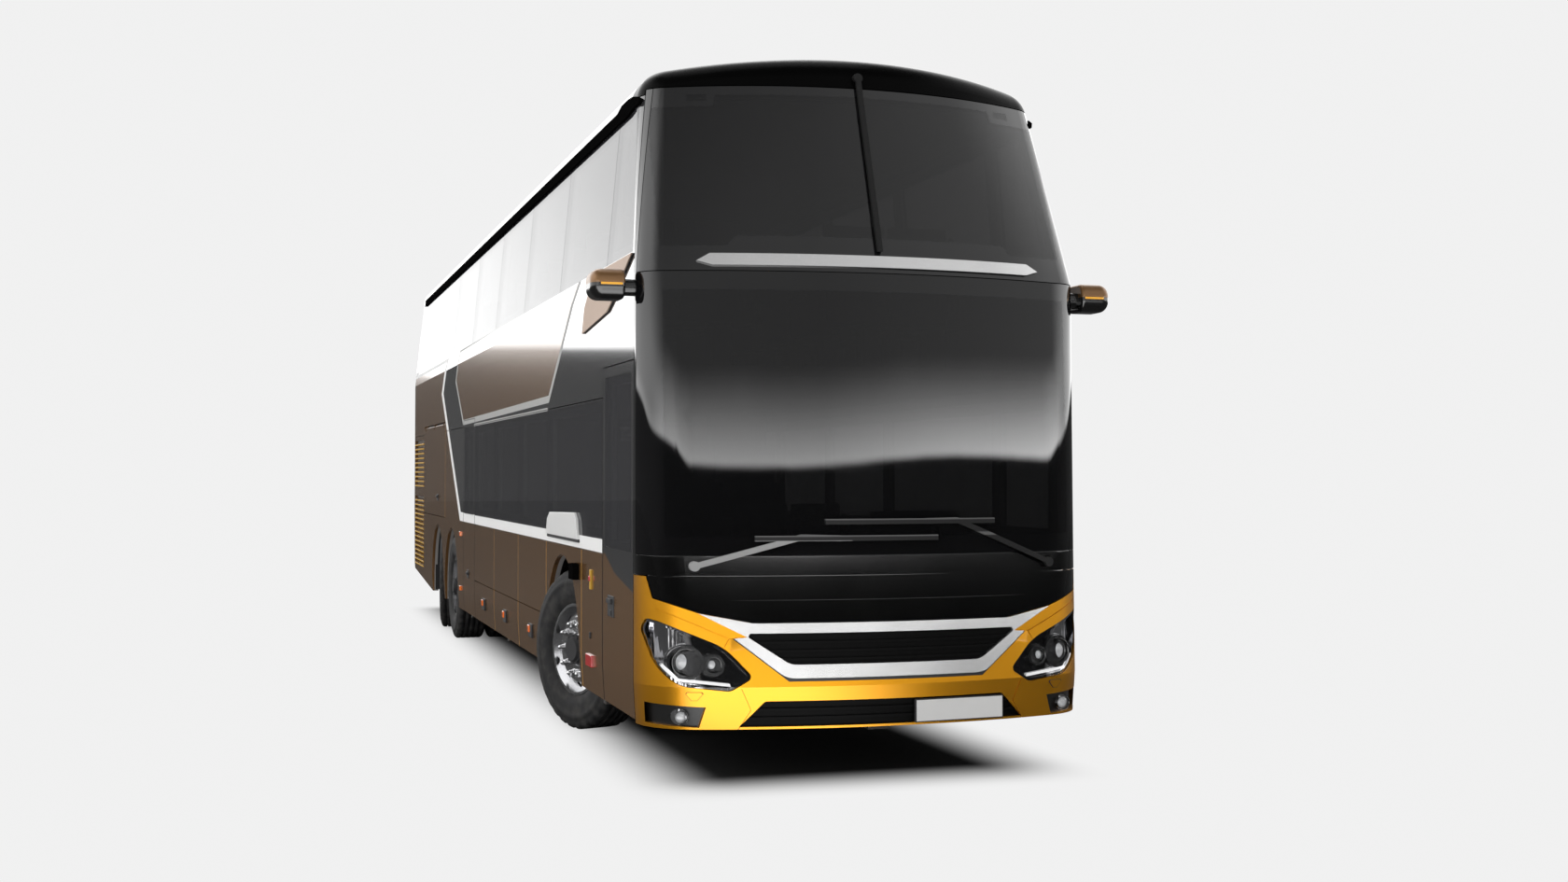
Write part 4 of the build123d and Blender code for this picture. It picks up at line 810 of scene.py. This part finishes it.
# Side fittings: marker lamps on their dark plates, door and flap handles, the box over the front arch and the
# red stop box beside the front door, gold lips on the louvers painted as highlights of the slats, and the
# blank belt plate over a dark plate that is painted shadow below it, all screwed or clipped to the flat side
# skin.
SKIN_X, SKIN_ROOT = 1.2745, 0.03
MARKERS = [
    # y, z
    (-0.18, 0.53), (-1.52, 0.53), (-2.88, 0.53),
]
SMALL_MARKERS = [
    # y, z
    (1.65, 1.086), (1.64, 0.56),
]
dark_boxes = []
amber_boxes = []
for hand in (-1, 1):
    for at_y, at_z in MARKERS:
        dark_boxes.append((at_y, at_z, 0.085, 0.05, 0.012, hand))
        amber_boxes.append((at_y + 0.03, at_z + 0.012, 0.034, 0.026, 0.022, hand))
    for at_y, at_z in SMALL_MARKERS:
        amber_boxes.append((at_y, at_z, 0.035, 0.022, 0.014, hand))
    dark_boxes.append((-5.24, 0.70, 0.014, 0.02, 0.01, hand))


def on_side(rows):
    """Boxes on the flat side skin from rows of y, z, half length, half height, proud and side."""
    made = []
    for at_y, at_z, half_y, half_z, proud, hand in rows:
        inner, outer = sorted((hand * (SKIN_X - SKIN_ROOT), hand * (SKIN_X + proud)))
        made.append(((inner, at_y - half_y, at_z - half_z), (outer, at_y + half_y, at_z + half_z)))
    return made


fitting("side_plates", on_side(dark_boxes), 0.006, moulding, "coach_body")
marker_lens = lit_lens("marker_lens", 0.25, rgb(0.75, 0.12, 0.01), rgb(0.85, 0.19, 0.02))
fitting("side_markers", on_side(amber_boxes), 0.006, marker_lens, "coach_body")
arch_boxes = [(-4.775, 1.06, 0.07, 0.05, 0.045, hand) for hand in (-1, 1)]
fitting("arch_boxes", on_side(arch_boxes), 0.005, rain_rubber, "coach_body")
stop_red = clouded(
    "stop_red", 12.0, rgb(0.5, 0.012, 0.012), rgb(0.6, 0.02, 0.02), 0.25, 0.1, 70.0,
    Coat_Weight=0.6, Coat_Roughness=0.05)
red_boxes = [(-5.235, 0.548, 0.09, 0.036, 0.016, -1), (-5.256, 1.042, 0.016, 0.016, 0.018, -1)]
fitting("stop_box", on_side(red_boxes), 0.006, stop_red, "coach_body")
plate = [
    (-5.875, 0.919, 0.09, 0.06, 0.006, -1),
    (-5.875, 0.95, 0.06, 0.014, 0.02, -1),
    (-5.9, 0.885, 0.016, 0.016, 0.012, -1),
]
fitting("front_door_handle", on_side(plate), 0.004, moulding, "front_door")
plate = [(1.03, 0.727, 0.07, 0.04, 0.006, -1), (1.03, 0.735, 0.05, 0.012, 0.02, -1)]
fitting("rear_door_handle", on_side(plate), 0.004, moulding, "rear_door")
for hand, name in ((-1, "right"), (1, "left")):
    grip = [(3.854, 1.413, 0.08, 0.035, 0.006, hand), (3.854, 1.42, 0.06, 0.01, 0.022, hand)]
    fitting(f"luggage_grip_{name}", on_side(grip), 0.004, moulding, f"luggage_flap_{name}")
grip = [((-0.12, 6.95, 0.77), (0.12, 6.976, 0.8)), ((-0.09, 6.96, 0.782), (0.09, 6.992, 0.793))]
fitting("engine_grip", grip, 0.004, moulding, "engine_flap")

LOUVERS = [
    # lowest slot z, slots
    (0.585, 15), (1.53, 10),
]
LOUVER_PITCH, LOUVER_MIDDLE_Y, LIP_DROP = 0.055, 6.035, 0.009
LIP_X, LIP_HALF = SKIN_X - 0.013, Vector((0.017, 0.555, 0.008))
# Painted highlight: the lips under the louver slots are gold where the slats catch the light; the same finish
# colours the small side marks.
gold_mark_and_highlight, shader, place = finish("gold_mark_and_highlight", Specular_IOR_Level=0.15)
feed(shader, Base_Color=metallic_coat(place, rgb(0.62, 0.36, 0.05)))
feed(shader, Roughness=0.4 + 0.1 * place.noise(30.0))
lip_mesh = bmesh.new()
slab(lip_mesh, -LIP_HALF, LIP_HALF)
bmesh.ops.bevel(lip_mesh, geom=lip_mesh.edges, offset=0.002, segments=3, profile=0.5, affect="EDGES")
lip = keep_mesh("louver_lip", lip_mesh, gold_mark_and_highlight, smooth=False)
lip_places = [
    (hand * LIP_X, LOUVER_MIDDLE_Y, low_z + i * LOUVER_PITCH - LIP_DROP)
    for hand in (-1, 1)
    for low_z, count in LOUVERS
    for i in range(count)
]
louver_lips = repeat("louver_lips", lip, lip_places, gold_mark_and_highlight)
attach(louver_lips, "coach_body")
marks = [(-5.256, 1.036, 0.02, 0.06, 0.01, hand) for hand in (-1, 1)]
fitting("side_marks", on_side(marks), 0.004, gold_mark_and_highlight, "coach_body")

SHIELD = [
    # y, z
    (-3.65, 1.262), (-4.862, 1.262), (-4.815, 1.385), (-4.74, 1.428), (-3.8, 1.412), (-3.7, 1.37),
]
# Painted shadow: a dark plate set lower behind the white one shows as a dark rim under it.
for name, drop, proud, finish_of, slot in (
    ("belt_plate_base", 0.02, 0.013, moulding, "matte_black"),
    ("belt_plate", 0.0, 0.02, plate_white, "roof_paint"),
):
    shield = bmesh.new()
    for hand in (-1, 1):
        corners = [(hand * SKIN_X, at_y, at_z - drop) for at_y, at_z in SHIELD]
        raised_plate(shield, corners, (hand * proud, 0, 0))
    bmesh.ops.bevel(shield, geom=shield.edges, offset=0.004, segments=3, profile=0.5, affect="EDGES")
    made = keep_mesh(name, shield, finish_of, smooth=False)
    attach(made, "coach_body")

# Rear wheel arches: black moulded liners over the drive and tag wheels, closed
# towards the middle of the coach above the axles.
DRIVE_Y, TAG_Y = 2.5, 3.85
ARCH_R, ARCH_Z, LINER_OUT, LINER_IN, WALL_FOOT = 0.626, 0.5, 1.236, 0.618, 0.66
LINER_STEPS, LINER_END = 36, -12.0
foot = math.degrees(math.asin((WALL_FOOT - ARCH_Z) / ARCH_R))
over_wheel = [foot + (180.0 - 2 * foot) * i / LINER_STEPS for i in range(LINER_STEPS + 1)]
bends = [LINER_END] + over_wheel + [180.0 - LINER_END]
liner_mesh = bmesh.new()
for axle_y in (DRIVE_Y, TAG_Y):
    for hand in (-1, 1):
        rims = []
        for at_x in (LINER_OUT, LINER_IN):
            rim = []
            for bend in bends:
                turn = math.radians(bend)
                spot = (hand * at_x, axle_y + ARCH_R * math.cos(turn), ARCH_Z + ARCH_R * math.sin(turn))
                rim.append(liner_mesh.verts.new(spot))
            rims.append(rim)
        outer, inner = rims
        for i in range(len(bends) - 1):
            liner_mesh.faces.new((outer[i], outer[i + 1], inner[i + 1], inner[i]))
        liner_mesh.faces.new(inner[1:-1])
rear_arch_liners = keep_mesh("rear_arch_liners", liner_mesh, moulding, smooth=False)
wall = rear_arch_liners.modifiers.new("wall", "SOLIDIFY")
wall.thickness = 0.004
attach(rear_arch_liners, "coach_body")

# Wheels: wide radial road tyres with a ribbed tread, notched shoulders and moulded rings
# on the sidewalls, on polished alloy rims that ten chromed nuts hold, with a black hub
# cap in the middle.
SIDEWALL = [
    # x from the middle, radius, mm
    (113.5, 287), (113.5, 301), (124, 304), (131, 319), (136, 323), (138, 333),
    (141, 337), (145, 368), (147, 398), (147, 424), (149, 429), (148, 452),
    (144.5, 456), (140, 478), (134, 498), (129, 508), (122, 515), (110, 521.5),
]
TREAD = [
    # x from the middle, radius, mm
    (82, 521.9), (80, 508), (70, 508), (68, 522), (33, 522), (31, 508), (21, 508), (19, 522),
]
ROUND, NOTCH_PITCH, NOTCH_LONG, NOTCH_DEEP = 160, 5, 2, 9
NOTCH_IN, NOTCH_OUT, NOTCH_R = 83, 133, 505
rubber, shader, place = finish("rubber", Specular_IOR_Level=0.35)
grime = place.noise(14.0, 5.0)
feed(shader, Base_Color=grime.over(0.55, 0.4).tint(rgb(0.014, 0.014, 0.015), rgb(0.04, 0.038, 0.036)))
feed(shader, Roughness=0.62 + 0.25 * grime)
feed(shader, Normal=place.noise(500.0, 2.0).bump(0.3, 0.0012))


def tyre_ring(mesh, at):
    """Adds one tyre turned about X, placed by the matrix."""
    half = SIDEWALL + TREAD
    profile = half + [(-px, r) for px, r in reversed(half)]
    grid = []
    for i in range(ROUND):
        turn = 2 * math.pi * i / ROUND
        ring = []
        for px, r in profile:
            notch = i % NOTCH_PITCH < NOTCH_LONG and NOTCH_IN < abs(px) < NOTCH_OUT and r > NOTCH_R
            depth = r - NOTCH_DEEP if notch else r
            spot = Vector((px, depth * math.sin(turn), depth * math.cos(turn))) / 1000
            ring.append(mesh.verts.new(at @ spot))
        grid.append(ring)
    for i in range(ROUND):
        near, far = grid[i], grid[(i + 1) % ROUND]
        for j in range(len(profile)):
            k = (j + 1) % len(profile)
            mesh.faces.new((near[j], near[k], far[k], far[j]))


HUB_Z, FRONT_Y = 0.522, -4.2
WHEELS = [
    # body, tyre node, rim node, side, kingpin x, axle y, rest steer,
    # wheel x from the kingpin, tyres further in
    ("front_wheel_right", "front_tyre_right", "front_rim_right", -1, 1.01, FRONT_Y, 20, 0.077, [0.0]),
    ("front_wheel_left", "front_tyre_left", "front_rim_left", 1, 1.01, FRONT_Y, 20, 0.077, [0.0]),
    ("tag_wheel_right", "tag_tyre_right", "tag_rim_right", -1, 1.01, TAG_Y, -8, 0.077, [0.0]),
    ("tag_wheel_left", "tag_tyre_left", "tag_rim_left", 1, 1.01, TAG_Y, -8, 0.077, [0.0]),
    ("drive_wheels_right", "drive_tyres_right", "drive_rims_right", -1, 1.105, DRIVE_Y, 0, 0.0, [0.0, 0.33]),
    ("drive_wheels_left", "drive_tyres_left", "drive_rims_left", 1, 1.105, DRIVE_Y, 0, 0.0, [0.0, 0.33]),
]
NUTS = 10
NUT_STUBS = [
    # sides, foot radius, top radius, length, middle z of the washer and the nut
    (18, 0.026, 0.025, 0.008, 0.004), (6, 0.02, 0.019, 0.03, 0.02),
]
NUT_DOME_R, NUT_DOME_Z = 0.0165, 0.033
BOLT_R, BOLT_LONG, BOLT_IN = 0.006, 0.008, 0.008


def stub(mesh, sides, foot_r, top_r, length, at):
    """Adds a turned or hexagonal stub with closed ends, its middle placed by the matrix."""
    bmesh.ops.create_cone(mesh, cap_ends=True, segments=sides, radius1=foot_r, radius2=top_r,
                          depth=length, matrix=at)


alloy, shader, place = finish("polished_alloy", Metallic=1.0)
spun = place.noise(160.0, 2.0)
feed(shader, Base_Color=spun.tint(rgb(0.62, 0.62, 0.63), rgb(0.8, 0.8, 0.81)))
feed(shader, Roughness=0.14 + 0.12 * spun)
bright, shader, place = finish("bright_chrome", Metallic=1.0, Base_Color=rgb(0.85, 0.85, 0.86))
feed(shader, Roughness=0.05 + 0.06 * place.noise(50.0))
for body, tyre_node, rim_node, side, pin_x, axle_y, steer, out, inner in WHEELS:
    hub = Matrix.Translation((side * pin_x, axle_y, HUB_Z)) @ Matrix.Rotation(math.radians(steer), 4, "Z")
    hub = hub @ Matrix.Translation((side * out, 0, 0)) @ Matrix.Rotation(math.pi if side < 0 else 0.0, 4, "Z")
    rings = bmesh.new()
    for step in inner:
        tyre_ring(rings, hub @ Matrix.Translation((-step, 0, 0)))
    tyre = keep_mesh(tyre_node + "_tread", rings, rubber)
    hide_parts(tyre_node)
    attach(tyre, body)
    dress(alloy, rim_node)
    nut_x, nut_r = (-0.09, 0.18) if len(inner) > 1 else (0.104, 0.1675)
    nuts = bmesh.new()
    for sides, foot_r, top_r, length, middle_z in NUT_STUBS:
        stub(nuts, sides, foot_r, top_r, length, Matrix.Translation((0, 0, middle_z)))
    bmesh.ops.create_uvsphere(nuts, u_segments=12, v_segments=6, radius=NUT_DOME_R,
                              matrix=Matrix.Translation((0, 0, NUT_DOME_Z)))
    nut = keep_mesh("nut", nuts, bright, smooth=False)
    ring_points = []
    for i in range(NUTS):
        turn = 2 * math.pi * (i + 0.5) / NUTS
        ring_points.append((nut_r * math.cos(turn), nut_r * math.sin(turn), nut_x))
    face_out = hub @ Matrix.Rotation(math.pi / 2, 4, "Y")
    wheel_nuts = repeat(rim_node + "_nuts", nut, ring_points, bright, face_out)
    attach(wheel_nuts, body)
    cap_x, cap_r = (0.116, 0.086) if len(inner) > 1 else (0.121, 0.098)
    cap = bmesh.new()
    stub(cap, 48, cap_r, cap_r - 0.004, 0.016, face_out @ Matrix.Translation((0, 0, cap_x + 0.008)))
    stub(cap, 48, cap_r - 0.014, cap_r - 0.026, 0.02, face_out @ Matrix.Translation((0, 0, cap_x + 0.024)))
    bolt_ring = cap_r - BOLT_IN
    for i in range(NUTS):
        turn = 2 * math.pi * i / NUTS
        spot = (bolt_ring * math.cos(turn), bolt_ring * math.sin(turn), cap_x + 0.018)
        stub(cap, 6, BOLT_R, BOLT_R, BOLT_LONG, face_out @ Matrix.Translation(spot))
    hub_cap = keep_mesh(rim_node + "_cap", cap, moulding, smooth=False)
    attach(hub_cap, body)

# Camera at the photograph's place, and a pale studio floor that shows the camera one even tone, apart from a
# painted shadow under the coach, where the floor's colour is darkened and also lit.
camera_data = bpy.data.cameras.new("camera")
camera_data.lens = 41.0
camera_data.sensor_width = 36.0
camera_data.clip_end = 300.0
camera = bpy.data.objects.new("camera", camera_data)
camera.location = (-3.255, -15.9, 1.678)
camera.rotation_euler = (math.radians(91.02), 0.0, math.radians(-16.69))
bpy.context.collection.objects.link(camera)
scene = bpy.context.scene
scene.camera = camera
scene.view_settings.view_transform = "Standard"

PALE, FLOOR_HALF = 0.877, 90.0
SHADE_X, SHADE_Y = 1.08, 6.7
floor_mesh = bmesh.new()
bmesh.ops.create_grid(floor_mesh, x_segments=1, y_segments=1, size=FLOOR_HALF)
studio_floor, shader, place = finish("studio_floor", Roughness=0.9, Specular_IOR_Level=0.0)
tree = studio_floor.node_tree
x, y, z = place.parts()
# Painted shadow: the floor's colour darkens under the coach.
under = abs(x).under(SHADE_X, 0.7) * abs(y).under(SHADE_Y, 0.8)
feed(shader, Base_Color=under.tint(grey(0.86), grey(0.06)))
glow = tree.nodes.new("ShaderNodeEmission")
glow.inputs["Color"].default_value = grey(PALE)
rays = Wire(tree, tree.nodes.new("ShaderNodeLightPath").outputs["Is Camera Ray"])
blend = tree.nodes.new("ShaderNodeMixShader")
tree.links.new(((1 - under) * rays).socket, blend.inputs[0])
tree.links.new(shader.outputs[0], blend.inputs[1])
tree.links.new(glow.outputs[0], blend.inputs[2])
tree.links.new(blend.outputs[0], tree.nodes["Material Output"].inputs["Surface"])
floor = keep_mesh("studio_floor", floor_mesh, studio_floor, smooth=False)

# A dark sheet on the floor that only reflections see, with a glowing card in front of
# the nose, as in the photograph's studio.
FAN_X, FAN_Y, FAN_RIGHT, FAN_LEFT = 0.3, -6.5, -1.6, 0.45
CARD_NEAR, CARD_FAR, SHEET_LIFT = 7.6, 40.0, 0.003
dark_sheet, shader, place = finish(
    "dark_sheet", Base_Color=grey(0.1), Roughness=1.0, Specular_IOR_Level=0.0, Emission_Strength=4.2)
x, y, z = place.parts()
ahead = (FAN_Y - y) | 0.3
side = (x - FAN_X) / ahead
near = ahead.under(8.0, 5.0)
card = (side + 0.42 * near).under(FAN_LEFT, 0.8) * side.over(FAN_RIGHT, 0.8)
card = card * (0 - y).over(CARD_NEAR, 1.2) * (0 - y).under(CARD_FAR, 20.0)
feed(shader, Emission_Color=card.tint(grey(0), grey(1)))
sheet_mesh = bmesh.new()
bmesh.ops.create_grid(sheet_mesh, x_segments=1, y_segments=1, size=FLOOR_HALF,
                      matrix=Matrix.Translation((0, 0, SHEET_LIFT)))
floor_sheet = keep_mesh("floor_sheet", sheet_mesh, dark_sheet, smooth=False)
floor_sheet.visible_camera = False
floor_sheet.visible_diffuse = False
floor_sheet.visible_transmission = False
floor_sheet.visible_shadow = False

# Studio light: a pale surround for the camera, an even soft light, and for mirrored rays
# a bright horizon that is narrow ahead of the nose and broad beside the coach.
NOSE_WAY, FLANK_WAY = 4, 6
DEGREES = 180 / math.pi
world = bpy.data.worlds.new("studio")
scene.world = world
world.use_nodes = True
tree = world.node_tree
sky = tree.nodes["Background"]
sky.inputs["Color"].default_value = grey(1)
light_path = tree.nodes.new("ShaderNodeLightPath")
seen = Wire(tree, light_path.outputs["Is Camera Ray"]) | Wire(tree, light_path.outputs["Is Transmission Ray"])
mirrored = Wire(tree, light_path.outputs["Is Glossy Ray"])
way = Wire(tree, tree.nodes.new("ShaderNodeTexCoord").outputs["Generated"])
x, y, z = way.parts()
rise = z.apply("ARCSINE") * DEGREES
front = x.apply("ARCTAN2", 0 - y) * DEGREES
high = rise.over(50.0, 20.0)
edge = 3.0 + 3.5 * abs(front - NOSE_WAY).under(60.0, 92.0) + abs(front).over(150.0, 36.0)
above = rise - edge
fall = (1 - (above | 0.0) * (1 / 3.3)) | 0.0
nose = (0.07 + 0.93 * fall.apply("POWER", 1.6)) * (6.3 + 0.07 * ((front - 7) | 0.0))
flank = 2.3 * (1 - 0.25 * above.over(5.0, 8.0)) + 0.8 * above.under(0.5, 0.8)
sideways = abs(front - FLANK_WAY).over(72.0, 40.0)
open_sky = above.over(0.0, 0.35) * (nose * (1 - sideways) + flank * sideways) + 0.13 * rise.over(15.0, 6.0)
mirror_light = 0.02 + 0.06 * sideways + 0.04 * high + open_sky * (1 - high)
soft_light = 0.42 + 0.8 * ((0 - x) | 0.0)
level = seen * PALE + (1 - seen) * (mirrored * mirror_light + (1 - mirrored) * soft_light)
tree.links.new(level.socket, sky.inputs["Strength"])


def lamp(name, place, aim, size, power):
    """A large soft area lamp aimed at a point."""
    data = bpy.data.lights.new(name, "AREA")
    data.shape = "RECTANGLE"
    data.size, data.size_y = size
    data.energy = power
    made = bpy.data.objects.new(name, data)
    made.location = place
    made.rotation_euler = (Vector(aim) - Vector(place)).to_track_quat("-Z", "Y").to_euler()
    bpy.context.collection.objects.link(made)
    return made


key = lamp("key", (-9.0, -14.0, 6.0), (-0.5, -6.5, 1.0), (6.0, 3.0), 200.0)
key.visible_glossy = False
lamp("top", (0.0, 1.5, 14.0), (0.0, -0.5, 0.0), (8.0, 16.0), 480.0)
